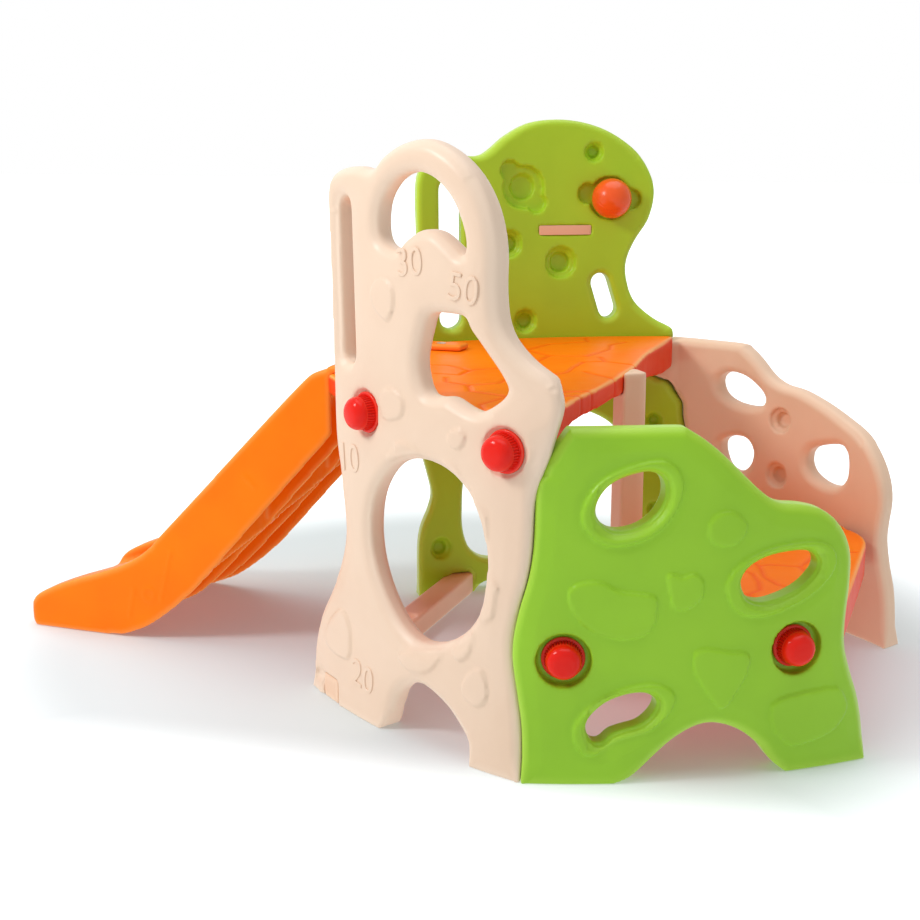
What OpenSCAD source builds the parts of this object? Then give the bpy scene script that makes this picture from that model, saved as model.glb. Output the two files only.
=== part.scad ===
// Climbing gym for small children: a hexagonal tower of four moulded walls
// around a deck and a step, with a slide. The origin is on the floor under the
// middle of the tower, +Z is up and the slide runs towards -X.

/* [Tower] */
// Distance from the middle of the tower to each corner of its hexagon
gym_r = 600; // [580:5:640]
// Thickness of a wall
wall_t = 50; // [44:1:56]
// Bow radius of the outside of a wall, seen from above
bow_r = 1250; // [1150:10:1400]
// How far the middle of a wall stands outside the line between its corners
wall_swell = 52; // [46:1:58]
// Gap left on each side of the wavy seam where two walls meet
seam_gap = 1; // [0.5:0.5:3]

/* [Walls] */
// Height of the arch wall at the slide
arch_h = 1032; // [1020:2:1044]
// Height of the low wall at the front
hill_h = 592; // [580:2:610]
// Height of the tree wall at the back
tree_h = 1071; // [1060:2:1082]
// Height of the low wall at the back
rock_h = 583; // [570:2:600]
// How far the raised lip stands proud round a climbing hole
lip_h = 5; // [3:0.5:7]
// How far the raised pads stand proud of a wall
pad_h = 3; // [2:0.5:4]
// Depth of the round dimples on the inside of the back walls
dimple_deep = 24; // [16:1:30]

/* [Floors] */
// Height of the top of the deck above the floor
deck_top = 590; // [580:1:600]
// Thickness of the deck
deck_t = 38; // [36:1:42]
// Depth of the deck at its two front corners
lug_t = 71; // [66:1:76]
// How far the deep front corners reach back under the deck
lug_l = 120; // [100:5:150]
// Height of the top of the step above the floor
step_top = 233; // [226:1:244]
// Thickness of the step
step_t = 72; // [66:1:80]
// Gap between a floor and the wall beside it
floor_gap = 0.5; // [0.3:0.1:1.5]

/* [Slide] */
// Overall width of the slide
slide_w = 410; // [380:5:430]
// Length of the slide along the floor, from the tower to its end
slide_run = 727; // [690:1:770]
// Width of each side rail of the slide
rail_w = 58; // [50:1:66]
// Thickness of the moulded skin of the slide
skin_t = 12; // [9:1:14]
// Height of the rail tongues that lie on the deck
tongue_h = 14; // [10:1:18]
// Length of the rail tongues on the deck
tongue_l = 140; // [110:2:150]
// Depth of the ribs under the slide bed
rib_deep = 84; // [70:1:92]

/* [Post and tie] */
// Width of each face of the centre post
post_w = 50; // [46:1:54]
// How far the top of the post stands above the top of the deck
post_rise = 2; // [0.5:0.5:4]
// Width of the base tie between the walls
tie_w = 56; // [52:1:64]
// Height of the base tie
tie_h = 46; // [40:1:50]
// Width of the tenon at each end of the base tie
tenon_w = 46; // [42:1:50]

/* [Knobs] */
// Diameter of the flange of a hand knob
flange_d = 72; // [68:1:78]
// Diameter of the grip of a hand knob
grip_d = 58; // [52:1:62]
// Height of a hand knob from its flange to its crown
knob_h = 40; // [38:1:46]
// Diameter of the threaded shank of a hand knob
shank_d = 16; // [12:1:18]
// Diameter of the round recess round a hand knob in the two tall walls
tall_recess_d = 82; // [80:1:88]
// Diameter of the round recess round a hand knob in the two low walls
low_recess_d = 90; // [86:1:96]
// Depth of the knob recess in the two tall walls
tall_recess = 9; // [6:1:14]
// Depth of the knob recess in the two low walls
low_recess = 20; // [12:1:24]
// Diameter of the nut that takes a shank
nut_d = 24; // [22:0.5:26]
// Length of the nut that takes a shank
nut_l = 30; // [24:1:34]
// Running clearance of a shank in its nut, on the radius
shank_fit = 0.06; // [0.03:0.01:0.1]

/* [Ball] */
// Diameter of the play ball
ball_d = 88; // [84:1:92]
// Diameter of the round socket in the tree wall
socket_d = 94; // [93:1:100]
// Depth of the round socket
socket_deep = 14; // [10:1:18]
// Diameter of the seat in the floor of the socket
seat_d = 56; // [48:1:62]
// Depth of the seat below the floor of the socket
seat_deep = 11; // [10.5:0.5:14]

/* [Hidden] */

beige = "#efd3ba";
leaf_green = "#97c437";
tree_green = "#9ac03a";
orange = "#f68a1e";
red = "#ee3226";
ball_red = "#f2601f";
nut_grey = "#b9bcc0";

// Fineness of the bow, of round features and of each span of a smooth outline
bow_fn = 240;
round_fn = 48;
curve_steps = 4;
// Overrun of cuts, and the small gap between pieces that rest on each other
cut = 1;
rest_gap = 0.3;

tower_in = gym_r * cos(30);
wall_reach = tower_in + wall_swell;
bow_y = bow_r - wall_reach;
wall_w = gym_r;
arch_turn = -30;
hill_turn = 30;
rock_turn = 150;
tree_turn = 210;
// Place of the post as shares of its width, its turn and its rounding
post_place_share = [0.37, 0.24];
post_turn = 38;
post_round_share = 0.66;
post_x = post_place_share[0] * post_w;
post_y = post_place_share[1] * post_w;
post_h = deck_top + post_rise;
slide_x = -tower_in - cut;

// Outlines of the walls as seen from outside: [share of the wall's width from
// its middle, share of its height]. A point given twice is a sharp corner.
arch_shares = [[-0.465, 0], [-0.465, 0], [-0.465, 0.065], [-0.445, 0.11], [-0.4, 0.16],
    [-0.34, 0.205], [-0.275, 0.26], [-0.237, 0.315], [-0.235, 0.36], [-0.26, 0.435],
    [-0.285, 0.505], [-0.29, 0.63], [-0.295, 0.755], [-0.305, 0.87], [-0.308, 0.912],
    [-0.28, 0.94], [-0.215, 0.953], [-0.14, 0.956], [-0.07, 0.952], [-0.015, 0.974],
    [0.065, 0.993], [0.16, 1], [0.25, 0.983], [0.325, 0.95], [0.38, 0.9], [0.405, 0.84],
    [0.405, 0.775], [0.42, 0.72], [0.475, 0.675], [0.535, 0.646], [0.563, 0.605],
    [0.575, 0.56], [0.575, 0.56], [0.575, 0], [0.575, 0], [0.335, 0], [0.335, 0],
    [0.32, 0.035], [0.287, 0.06], [0.24, 0.085], [0.175, 0.103], [0.125, 0.108],
    [0.075, 0.098], [0.033, 0.077], [0.01, 0.05], [-0.02, 0.018], [-0.045, 0], [-0.045, 0]];
arch_crescent_shares = [[-0.045, 0.867], [-0.033, 0.9], [0.01, 0.928], [0.065, 0.945],
    [0.133, 0.95], [0.2, 0.938], [0.258, 0.91], [0.295, 0.872], [0.307, 0.841],
    [0.293, 0.827], [0.258, 0.84], [0.2, 0.86], [0.14, 0.861], [0.083, 0.845],
    [0.04, 0.828], [-0.01, 0.833], [-0.037, 0.845]];
arch_window_shares = [[0.16, 0.722], [0.14, 0.69], [0.126, 0.657], [0.132, 0.627], [0.155, 0.604],
    [0.195, 0.6], [0.24, 0.603], [0.275, 0.596], [0.31, 0.589], [0.35, 0.587], [0.395, 0.6],
    [0.412, 0.625], [0.397, 0.657], [0.362, 0.688], [0.325, 0.712], [0.3, 0.732], [0.233, 0.735],
    [0.183, 0.733]];
arch_crawl_shares = [[0.143, 0.494], [0.267, 0.478], [0.353, 0.426], [0.383, 0.344],
    [0.355, 0.262], [0.267, 0.208], [0.133, 0.182], [0.025, 0.208], [-0.063, 0.271],
    [-0.098, 0.339], [-0.075, 0.412], [0.017, 0.472]];
arch_grip_shares = [[-0.21, 0.886], [-0.197, 0.648]];
arch_grip_r = 21;

hill_shares = [[-0.575, 0], [-0.575, 0], [-0.575, 0.72], [-0.575, 0.72], [-0.508, 0.77],
    [-0.475, 0.845], [-0.447, 0.935], [-0.425, 1], [-0.425, 1], [-0.125, 1], [-0.075, 0.99],
    [0, 0.937], [0.075, 0.865], [0.133, 0.811], [0.183, 0.78], [0.25, 0.77], [0.317, 0.748],
    [0.375, 0.696], [0.408, 0.625], [0.413, 0.54], [0.405, 0.422], [0.408, 0.346],
    [0.43, 0.27], [0.463, 0.177], [0.483, 0.076], [0.487, 0], [0.487, 0], [0.23, 0],
    [0.23, 0], [0.187, 0.037], [0.147, 0.088], [0.092, 0.133], [0.025, 0.159],
    [-0.033, 0.155], [-0.1, 0.118], [-0.167, 0.057], [-0.217, 0.017], [-0.258, 0], [-0.258, 0]];
hill_hole_shares = [
    [[-0.322, 0.777], [-0.305, 0.824], [-0.267, 0.858], [-0.208, 0.878], [-0.167, 0.878],
        [-0.142, 0.853], [-0.14, 0.81], [-0.163, 0.764], [-0.208, 0.73], [-0.267, 0.72],
        [-0.305, 0.74]],
    [[0.08, 0.566], [0.103, 0.605], [0.153, 0.63], [0.217, 0.64], [0.275, 0.637],
        [0.303, 0.611], [0.297, 0.574], [0.258, 0.537], [0.2, 0.512], [0.142, 0.502],
        [0.097, 0.52]],
    [[-0.337, 0.16], [-0.325, 0.194], [-0.283, 0.233], [-0.225, 0.255], [-0.175, 0.257],
        [-0.147, 0.236], [-0.153, 0.203], [-0.187, 0.169], [-0.233, 0.155], [-0.267, 0.142],
        [-0.293, 0.118], [-0.32, 0.122]]];
// Size of the lip round each climbing hole, as a share of the hole
lip_share = 1.42;

tree_shares = [[0.537, 0], [0.537, 0], [0.537, 0.103], [0.525, 0.15], [0.495, 0.19],
    [0.482, 0.224], [0.497, 0.265], [0.517, 0.31], [0.533, 0.39], [0.533, 0.56],
    [0.533, 0.747], [0.537, 0.84], [0.53, 0.887], [0.5, 0.915], [0.45, 0.927],
    [0.375, 0.929], [0.308, 0.926], [0.263, 0.936], [0.2, 0.965], [0.108, 0.992], [0, 1],
    [-0.108, 0.993], [-0.208, 0.972], [-0.3, 0.934], [-0.353, 0.887], [-0.367, 0.845],
    [-0.347, 0.795], [-0.3, 0.752], [-0.27, 0.71], [-0.272, 0.67], [-0.303, 0.624],
    [-0.375, 0.588], [-0.442, 0.568], [-0.452, 0.557], [-0.47, 0.535], [-0.575, 0.5],
    [-0.575, 0.5], [-0.575, 0], [-0.575, 0], [-0.283, 0], [-0.283, 0], [-0.25, 0.019],
    [-0.183, 0.031], [0, 0.035], [0.183, 0.031], [0.275, 0.019], [0.313, 0], [0.313, 0]];
tree_crawl_shares = [[0.362, 0.187], [0.355, 0.129], [0.317, 0.086], [0.233, 0.067],
    [0, 0.062], [-0.2, 0.067], [-0.287, 0.089], [-0.32, 0.14], [-0.32, 0.252],
    [-0.292, 0.317], [-0.225, 0.36], [-0.133, 0.387], [0, 0.403], [0.15, 0.392],
    [0.275, 0.35], [0.347, 0.27]];
tree_grip_shares = [[0.41, 0.86], [0.407, 0.597]];
tree_grip_r = 25;
tree_hand_shares = [[-0.172, 0.664], [-0.203, 0.608]];
tree_hand_r = 21;
// Dimples on the inside of the tree wall, and their radii as shares of the socket
tree_dimple_shares = [[-0.137, 0.934], [-0.017, 0.707], [0.117, 0.585], [0.183, 0.747],
    [0.448, 0.104], [-0.387, 0.366], [-0.4, 0.168]];
tree_dimple_r_shares = [0.22, 0.37, 0.27, 0.32, 0.26, 0.2, 0.2];
// The two stages of a dimple: [share of its radius, share of its depth]
dimple_stage_shares = [[1, 0.42], [0.64, 1]];
// The two ball sockets, and their side lobes as shares of the socket
ball_shares = [-0.2, 0.84];
spare_shares = [0.128, 0.863];
ball_lobe_shares = [[0.53, 0.1], [-0.5, -0.03]];
spare_lobe_shares = [[0.33, 0.38], [-0.32, -0.36]];
lobe_r_share = 0.24;
plug_shares = [-0.032, 0.7745];

rock_shares = [[0.575, 0], [0.575, 0], [0.575, 1], [0.575, 1], [0.25, 1], [0.197, 0.985],
    [0.15, 0.949], [0.092, 0.895], [0.033, 0.866], [-0.05, 0.854], [-0.15, 0.823],
    [-0.25, 0.782], [-0.342, 0.737], [-0.408, 0.672], [-0.453, 0.592], [-0.467, 0.515],
    [-0.457, 0.429], [-0.455, 0.369], [-0.473, 0.283], [-0.5, 0.197], [-0.513, 0.103],
    [-0.52, 0], [-0.52, 0], [-0.25, 0], [-0.25, 0], [-0.207, 0.037], [-0.167, 0.088],
    [-0.1, 0.133], [-0.025, 0.159], [0.04, 0.155], [0.1, 0.118], [0.167, 0.057],
    [0.217, 0.017], [0.258, 0], [0.258, 0]];
rock_hole_shares = [
    [[0.313, 0.849], [0.292, 0.878], [0.25, 0.889], [0.192, 0.878], [0.142, 0.849],
        [0.11, 0.82], [0.103, 0.793], [0.125, 0.772], [0.183, 0.765], [0.25, 0.775],
        [0.297, 0.803]],
    [[0.292, 0.592], [0.275, 0.626], [0.225, 0.643], [0.175, 0.636], [0.147, 0.597],
        [0.153, 0.549], [0.183, 0.515], [0.228, 0.503], [0.27, 0.528]],
    [[-0.097, 0.618], [-0.117, 0.648], [-0.167, 0.669], [-0.233, 0.683], [-0.27, 0.674],
        [-0.285, 0.626], [-0.28, 0.566], [-0.25, 0.532], [-0.192, 0.525], [-0.13, 0.546],
        [-0.1, 0.578]]];
rock_dimple_shares = [[0.022, 0.734], [0.028, 0.523]];
rock_dimple_r_shares = [0.29, 0.29];

// Wavy seams between a tall and a low wall: [share of the wall thickness past
// the corner, share of the low wall's height]. At the back the low wall turns
// round the corner at its top, over the width and height given last.
front_seam_shares = [[-0.04, 0], [-0.06, 0.15], [-0.2, 0.25], [-0.36, 0.35], [-0.34, 0.42],
    [-0.16, 0.5], [0.1, 0.585], [0.25, 0.68], [0.3, 0.83], [0.4, 0.95], [0.6, 1.06]];
back_seam_shares = [[-0.04, 0], [-0.06, 0.15], [0.1, 0.3], [0.3, 0.45], [0.38, 0.56],
    [0.36, 0.63], [0.23, 0.68], [0.2, 0.728], [0.02, 0.752], [-0.18, 0.775], [-0.36, 0.8],
    [-0.56, 0.815], [-0.88, 0.826], [-1.22, 0.841], [-1.45, 0.87], [-1.5, 0.92], [-1.3, 0.955],
    [-0.9, 0.975], [-0.3, 0.99], [-0.2, 1.04]];
return_shares = [[-0.513, 0.68], [-0.513, 1], [-0.28, 1], [-0.28, 0.68]];

// Outlines of the raised pads on the outside of the two front walls
hill_pad_shares = [
    [[-0.39, 0.56], [-0.355, 0.58], [-0.305, 0.58], [-0.26, 0.555], [-0.17, 0.54], [-0.163, 0.495],
        [-0.178, 0.445], [-0.23, 0.425], [-0.295, 0.433], [-0.353, 0.467], [-0.384, 0.51]],
    [[-0.13, 0.6], [-0.092, 0.59], [-0.06, 0.6], [-0.036, 0.573], [-0.036, 0.54], [-0.068, 0.508],
        [-0.11, 0.505], [-0.122, 0.545]],
    [[-0.02, 0.742], [0.008, 0.765], [0.04, 0.766], [0.068, 0.746], [0.08, 0.718], [0.054, 0.682],
        [0.01, 0.678], [-0.022, 0.702]],
    [[-0.05, 0.375], [-0.01, 0.382], [0.045, 0.37], [0.1, 0.36], [0.098, 0.31], [0.062, 0.245],
        [0.035, 0.212], [0.007, 0.232], [-0.028, 0.285], [-0.052, 0.33]],
    [[0.177, 0.2], [0.223, 0.224], [0.367, 0.234], [0.405, 0.205], [0.41, 0.158], [0.362, 0.106],
        [0.255, 0.081], [0.217, 0.103], [0.186, 0.14]]];
arch_pad_shares = [
    [[0.006, 0.78], [0.046, 0.766], [0.05, 0.74], [0.023, 0.716], [-0.022, 0.727], [-0.048, 0.75],
        [-0.037, 0.77]],
    [[0.268, 0.542], [0.286, 0.555], [0.313, 0.558], [0.326, 0.547], [0.307, 0.53], [0.28, 0.53]],
    [[-0.01, 0.588], [0.035, 0.603], [0.078, 0.592], [0.09, 0.579], [0.073, 0.561], [0.003, 0.554]],
    [[0.005, 0.48], [0.04, 0.5], [0.057, 0.517], [0.112, 0.517], [0.145, 0.502], [0.08, 0.48]],
    [[0.246, 0.5], [0.285, 0.498], [0.307, 0.474], [0.29, 0.455], [0.25, 0.475]],
    [[0.34, 0.445], [0.384, 0.438], [0.4, 0.423], [0.397, 0.393], [0.38, 0.384], [0.36, 0.41]],
    [[0.37, 0.335], [0.434, 0.324], [0.43, 0.294], [0.42, 0.265], [0.378, 0.254], [0.35, 0.29]],
    [[0.293, 0.22], [0.343, 0.233], [0.351, 0.216], [0.34, 0.193], [0.3, 0.178], [0.28, 0.19]],
    [[0.07, 0.158], [0.155, 0.177], [0.226, 0.19], [0.23, 0.168], [0.17, 0.138], [0.108, 0.13],
        [0.065, 0.143]],
    [[0.355, 0.167], [0.386, 0.172], [0.403, 0.142], [0.393, 0.122], [0.367, 0.112], [0.327, 0.12],
        [0.324, 0.145]],
    [[-0.236, 0.186], [-0.19, 0.156], [-0.2, 0.106], [-0.288, 0.1], [-0.345, 0.115], [-0.312, 0.153]]];

// Depth of the knobs below the top of a floor, as shares of its thickness
deck_knob_share = 0.5;
lug_knob_share = 0.55;
step_knob_share = 0.28;
end_knob_share = 0.24;
// Knob places on each wall: [share along the wall, height]
arch_knobs = [[-0.097, deck_top - deck_t * deck_knob_share], [0.45, deck_top - lug_t * lug_knob_share]];
tree_knobs = [[0.097, deck_top - deck_t * deck_knob_share], [-0.23, deck_top - deck_t * deck_knob_share]];
hill_knobs = [[-0.403, step_top - step_t * step_knob_share], [0.248, step_top - step_t * end_knob_share]];
rock_knobs = [[0.403, step_top - step_t * step_knob_share], [-0.248, step_top - step_t * end_knob_share]];

// Plans of the two floors: shares of the tower's corner distance
deck_plan_shares = [[0.01, -0.95], [0.01, -0.95], [0, -0.62], [0.002, -0.48], [0.013, -0.34],
    [0.02, -0.11], [0.018, 0.05], [0.014, 0.17], [-0.008, 0.4], [-0.014, 0.55], [-0.014, 0.755],
    [-0.022, 0.95], [-0.022, 0.95], [-0.866, 0.95], [-0.866, 0.95], [-0.866, -0.355], [-0.866, -0.355],
    [-0.67, -0.6], [-0.67, -0.6], [-0.6, -0.95], [-0.6, -0.95]];
step_plan_shares = [[0.03, -0.95], [0.03, -0.95], [0.6, -0.95], [0.6, -0.95], [0.672, -0.6],
    [0.735, -0.5], [0.768, -0.41], [0.775, -0.25], [0.775, 0.25], [0.768, 0.41], [0.735, 0.5],
    [0.672, 0.6], [0.6, 0.95], [0.6, 0.95], [0.03, 0.95], [0.03, 0.95]];

// Lower edge of the deck's front, seen from the way in: [share of the corner
// distance, share of the depth at the corners]
lug_shares = [[-0.95, 0.1], [-0.95, 1], [-0.8, 1], [-0.7, 0.93], [-0.58, 0.62], [-0.45, 0.5],
    [-0.2, 0.52], [0, 0.58], [0.25, 0.7], [0.5, 0.8], [0.63, 0.92], [0.75, 1], [0.95, 1], [0.95, 0.1]];

// Side view of the slide: [share of the run out from the tower, share of the
// deck height] along the rail tops, the bed and the lower edge of the sides
rail_shares = [[0, 1.012], [0, 1.012], [0.048, 0.998], [0.09, 0.957], [0.2, 0.821],
    [0.4, 0.567], [0.53, 0.403], [0.59, 0.328], [0.66, 0.272], [0.743, 0.23], [0.853, 0.183],
    [0.95, 0.132], [0.99, 0.09], [1, 0.04], [0.985, 0], [0.985, 0]];
bed_shares = [[0, 0.995], [0, 0.995], [0.032, 0.98], [0.078, 0.925], [0.2, 0.716],
    [0.4, 0.462], [0.53, 0.298], [0.6, 0.22], [0.68, 0.168], [0.78, 0.132], [0.88, 0.105],
    [0.95, 0.085], [1.02, 0.06], [1.02, 0.06]];
belly_shares = [[0.72, 0], [0.72, 0], [0.674, 0.007], [0.594, 0.049], [0.516, 0.117],
    [0.437, 0.203], [0.36, 0.305], [0.36, 0.305], [0, 0.793], [0, 0.793]];
slide_corner_r = 24;
// Ribs under the bed: places of the long ribs across the slide, and the two
// ends of the slanting rib along the run, as shares
long_rib_shares = [-0.16, 0.16];
slant_rib_shares = [0.08, 0.42];
rib_t = 8;

tie_place_share = 1.31;
tie_x = -tower_in + tie_w * tie_place_share;
tie_dimple_d = 36;
tie_dimple_deep = 8;
tie_gap = 0.5;
plug_l = 120;
plug_h = 21;
plug_deep = 12;
plug_proud = 1;

screw_d = 9;
screw_head_d = 20;
screw_head_h = 5;
slide_screw_l = 44;
tongue_screw_share = 0.62;
slide_screw_x = slide_x + tongue_l * tongue_screw_share;
post_screw_l = 92;
post_screw_share = 0.55;
post_screw_z = deck_top - deck_t * post_screw_share;

// Shape of a hand knob, as shares of its height or of its widths
flange_h_share = 0.15;
flange_edge_share = 0.6;
skirt_d_share = 0.88;
skirt_h_share = 0.5;
crown_share = 0.3;
shank_share = 0.9;

// Points of one span of a smooth outline, which passes through every point
function curve_point(a, b, c, d, t) =
    0.5 * (2 * b + (c - a) * t + (2 * a - 5 * b + 4 * c - d) * t ^ 2
        + (3 * b - a - 3 * c + d) * t ^ 3);
function span(a, b, c, d) =
    let (steps = a == b && c == d ? 1 : curve_steps)
    [for (k = [0:steps - 1]) curve_point(a, b, c, d, k / steps)];
function smooth_loop(p) =
    let (n = len(p))
    [for (i = [0:n - 1])
        let (a = p[(i + n - 1) % n], b = p[i], c = p[(i + 1) % n], d = p[(i + 2) % n])
        if (b != c) each span(a, b, c, d)];
function spread(shares, w, h) = [for (s = shares) [s[0] * w, s[1] * h]];
function mean(p) = [for (k = [0, 1]) [for (q = p) 1] * [for (q = p) q[k]] / len(p)];
function grow(p, share) = let (m = mean(p)) [for (q = p) m + (q - m) * share];
function knob_u(knob) = knob[0] * wall_w;

// A wall is built with its outside towards -Y and its width along X
module wall_slab(h, out = 0, deep = wall_t)
    translate([0, bow_y, 0]) difference() {
        cylinder(r = bow_r + out, h = h, $fn = bow_fn);
        translate([0, 0, -cut]) cylinder(r = bow_r - deep, h = h + 2 * cut, $fn = bow_fn);
    }

module through(points)
    translate([0, wall_t * 3 - wall_reach, 0]) rotate([90, 0, 0])
        linear_extrude(height = wall_t * 4) polygon(points);

module slot_through(ends, r) {
    through([for (k = [0:1]) let (a = ends[k], b = ends[1 - k],
        lean = atan2(a[1] - b[1], a[0] - b[0]))
        for (t = [-90:15:90]) a + r * [cos(lean + t), sin(lean + t)]]);
}

// Puts children on the face of a wall that lies deep below its outside,
// with their Z axis pointing out of the wall
module on_wall(u, z, deep = 0)
    translate([0, bow_y, 0]) rotate([0, 0, asin(u / (bow_r - deep))])
        translate([0, deep - bow_r, z]) rotate([90, 0, 0]) children();

module raised(points, h, proud)
    intersection() {
        wall_slab(h, proud, cut);
        through(points);
    }

module knob_seats(knobs, recess, recess_d)
    for (knob = knobs) on_wall(knob_u(knob), knob[1]) {
        translate([0, 0, -recess]) cylinder(d = recess_d, h = wall_t, $fn = round_fn);
        translate([0, 0, -wall_t - cut * 3])
            cylinder(d = shank_d + 2 * cut, h = wall_t + cut * 3, $fn = round_fn);
    }

// Round dimples in two stages: a wide shallow one, and a narrower pit
module dimples(places, r_shares, h)
    for (k = [0:len(places) - 1])
        on_wall(places[k][0] * wall_w, places[k][1] * h, wall_t) translate([0, 0, -cut * 4])
            for (stage = dimple_stage_shares)
                cylinder(r = r_shares[k] * socket_d * stage[0], h = dimple_deep * stage[1] + cut * 4,
                    $fn = round_fn);

// Keeps the part of a wall on one side of a wavy seam: side -1 or 1. Less than
// least, a share of the wall thickness, the seam doesn't go.
module seam_side(side, shares, least = -2) {
    far = gym_r * side * 2;
    line = [for (s = shares) [max(s[0], least) * wall_t + side * seam_gap, s[1] * hill_h]];
    top = tree_h + cut;
    last = line[len(line) - 1];
    edge = smooth_loop(concat([[far, 0], [far, 0], line[0]], line,
        [last, [last[0], top], [last[0], top], [far, top], [far, top]]));
    translate([0, gym_r * 2, 0]) rotate([90, 0, 0])
        linear_extrude(height = gym_r * 4) polygon(edge);
}

module arch_wall() color(beige) intersection() {
    rotate([0, 0, arch_turn]) difference() {
        union() {
            intersection() {
                wall_slab(arch_h);
                through(smooth_loop(spread(arch_shares, wall_w, arch_h)));
            }
            for (pad = arch_pad_shares)
                raised(smooth_loop(spread(pad, wall_w, arch_h)), arch_h, pad_h);
        }
        through(smooth_loop(spread(arch_crescent_shares, wall_w, arch_h)));
        through(smooth_loop(spread(arch_window_shares, wall_w, arch_h)));
        through(smooth_loop(spread(arch_crawl_shares, wall_w, arch_h)));
        slot_through(spread(arch_grip_shares, wall_w, arch_h), arch_grip_r);
        knob_seats(arch_knobs, tall_recess, tall_recess_d);
        rotate([0, 0, -arch_turn]) tie_tenon(tie_gap);
    }
    seam_side(-1, front_seam_shares);
}

module hill_wall() color(leaf_green) intersection() {
    rotate([0, 0, hill_turn]) difference() {
        union() {
            intersection() {
                wall_slab(hill_h);
                through(smooth_loop(spread(hill_shares, wall_w, hill_h)));
            }
            for (hole = hill_hole_shares)
                raised(smooth_loop(grow(spread(hole, wall_w, hill_h), lip_share)), hill_h, lip_h);
            for (pad = hill_pad_shares)
                raised(smooth_loop(spread(pad, wall_w, hill_h)), hill_h, pad_h);
        }
        for (hole = hill_hole_shares) through(smooth_loop(spread(hole, wall_w, hill_h)));
        knob_seats(hill_knobs, low_recess, low_recess_d);
    }
    seam_side(1, front_seam_shares);
}

module tree_wall() color(tree_green) intersection() {
    rotate([0, 0, tree_turn]) difference() {
        intersection() {
            wall_slab(tree_h);
            through(smooth_loop(spread(tree_shares, wall_w, tree_h)));
        }
        through(smooth_loop(spread(tree_crawl_shares, wall_w, tree_h)));
        slot_through(spread(tree_grip_shares, wall_w, tree_h), tree_grip_r);
        slot_through(spread(tree_hand_shares, wall_w, tree_h), tree_hand_r);
        knob_seats(tree_knobs, tall_recess, tall_recess_d);
        dimples(tree_dimple_shares, tree_dimple_r_shares, tree_h);
        ball_socket(ball_shares, ball_lobe_shares);
        ball_socket(spare_shares, spare_lobe_shares);
        plug_block(rest_gap);
        rotate([0, 0, -tree_turn]) tie_tenon(tie_gap);
    }
    seam_side(-1, back_seam_shares);
}

module rock_wall() color(beige) {
    intersection() {
        rotate([0, 0, rock_turn]) difference() {
            intersection() {
                wall_slab(rock_h);
                through(smooth_loop(spread(rock_shares, wall_w, rock_h)));
            }
            for (hole = rock_hole_shares) through(smooth_loop(spread(hole, wall_w, rock_h)));
            knob_seats(rock_knobs, low_recess, low_recess_d);
            dimples(rock_dimple_shares, rock_dimple_r_shares, rock_h);
        }
        seam_side(1, back_seam_shares, 0);
    }
    intersection() {
        rotate([0, 0, tree_turn]) intersection() {
            wall_slab(rock_h);
            through(spread(return_shares, wall_w, rock_h));
        }
        seam_side(1, back_seam_shares);
    }
}

// Flat-bottomed socket with a deeper seat and two finger lobes
module ball_socket(place, lobes)
    on_wall(place[0] * wall_w, place[1] * tree_h, wall_t) translate([0, 0, -cut * 4]) {
        cylinder(d = socket_d, h = socket_deep + cut * 4, $fn = round_fn);
        cylinder(d = seat_d, h = socket_deep + seat_deep + cut * 4, $fn = round_fn);
        for (lobe = lobes) translate([lobe[0], lobe[1], 0] * socket_d)
            cylinder(r = lobe_r_share * socket_d, h = socket_deep + cut * 4, $fn = round_fn);
    }

// The ball rests on the rim of the seat in its socket
module play_ball() {
    stand = sqrt((ball_d / 2) ^ 2 - (seat_d / 2) ^ 2) - socket_deep + rest_gap;
    color(ball_red) rotate([0, 0, tree_turn])
        on_wall(ball_shares[0] * wall_w, ball_shares[1] * tree_h, wall_t)
            translate([0, 0, -stand]) sphere(d = ball_d, $fn = round_fn);
}

module plug_block(gap)
    on_wall(plug_shares[0] * wall_w, plug_shares[1] * tree_h, wall_t)
        translate([-plug_l / 2 - gap, -plug_h / 2 - gap, -plug_proud - gap * cut * 4])
            cube([plug_l + 2 * gap, plug_h + 2 * gap, plug_deep + plug_proud + gap * cut * 5]);

module slot_plug() color(beige) rotate([0, 0, tree_turn]) plug_block(0);

// The space between the insides of two walls, less the gap at each of them
module between_walls(turns, gap, h)
    intersection() {
        rotate([0, 0, turns[0]]) translate([0, bow_y, 0])
            cylinder(r = bow_r - wall_t - gap, h = h, $fn = bow_fn);
        rotate([0, 0, turns[1]]) translate([0, bow_y, 0])
            cylinder(r = bow_r - wall_t - gap, h = h, $fn = bow_fn);
    }

module post_section(gap)
    translate([post_x, post_y, 0]) intersection() {
        rotate([0, 0, post_turn])
            cube([post_w + 2 * gap, post_w + 2 * gap, post_h * 2], center = true);
        cylinder(r = post_w * post_round_share + gap, h = post_h, $fn = round_fn);
    }

module nut_pockets(turn, knobs)
    rotate([0, 0, turn]) for (knob = knobs)
        on_wall(knob_u(knob) * (1 - wall_t / bow_r), knob[1], wall_t) {
            translate([0, 0, -nut_l - 2 * rest_gap - cut])
                cylinder(d = nut_d + 2 * shank_fit, h = nut_l + 2 * cut, $fn = round_fn);
        }

module floor_plate(shares, turns, top, t)
    translate([0, 0, top - t]) intersection() {
        linear_extrude(height = t) polygon(smooth_loop(spread(shares, gym_r, gym_r)));
        between_walls(turns, floor_gap, t);
    }

// The deep front corners of the deck and the curved edge between them
module deck_front()
    intersection() {
        floor_plate(deck_plan_shares, [arch_turn, tree_turn], deck_top, lug_t);
        translate([-lug_l, 0, deck_top]) rotate([90, 0, 90]) linear_extrude(height = lug_l * 2)
            polygon(spread(lug_shares, gym_r, -lug_t));
    }

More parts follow.
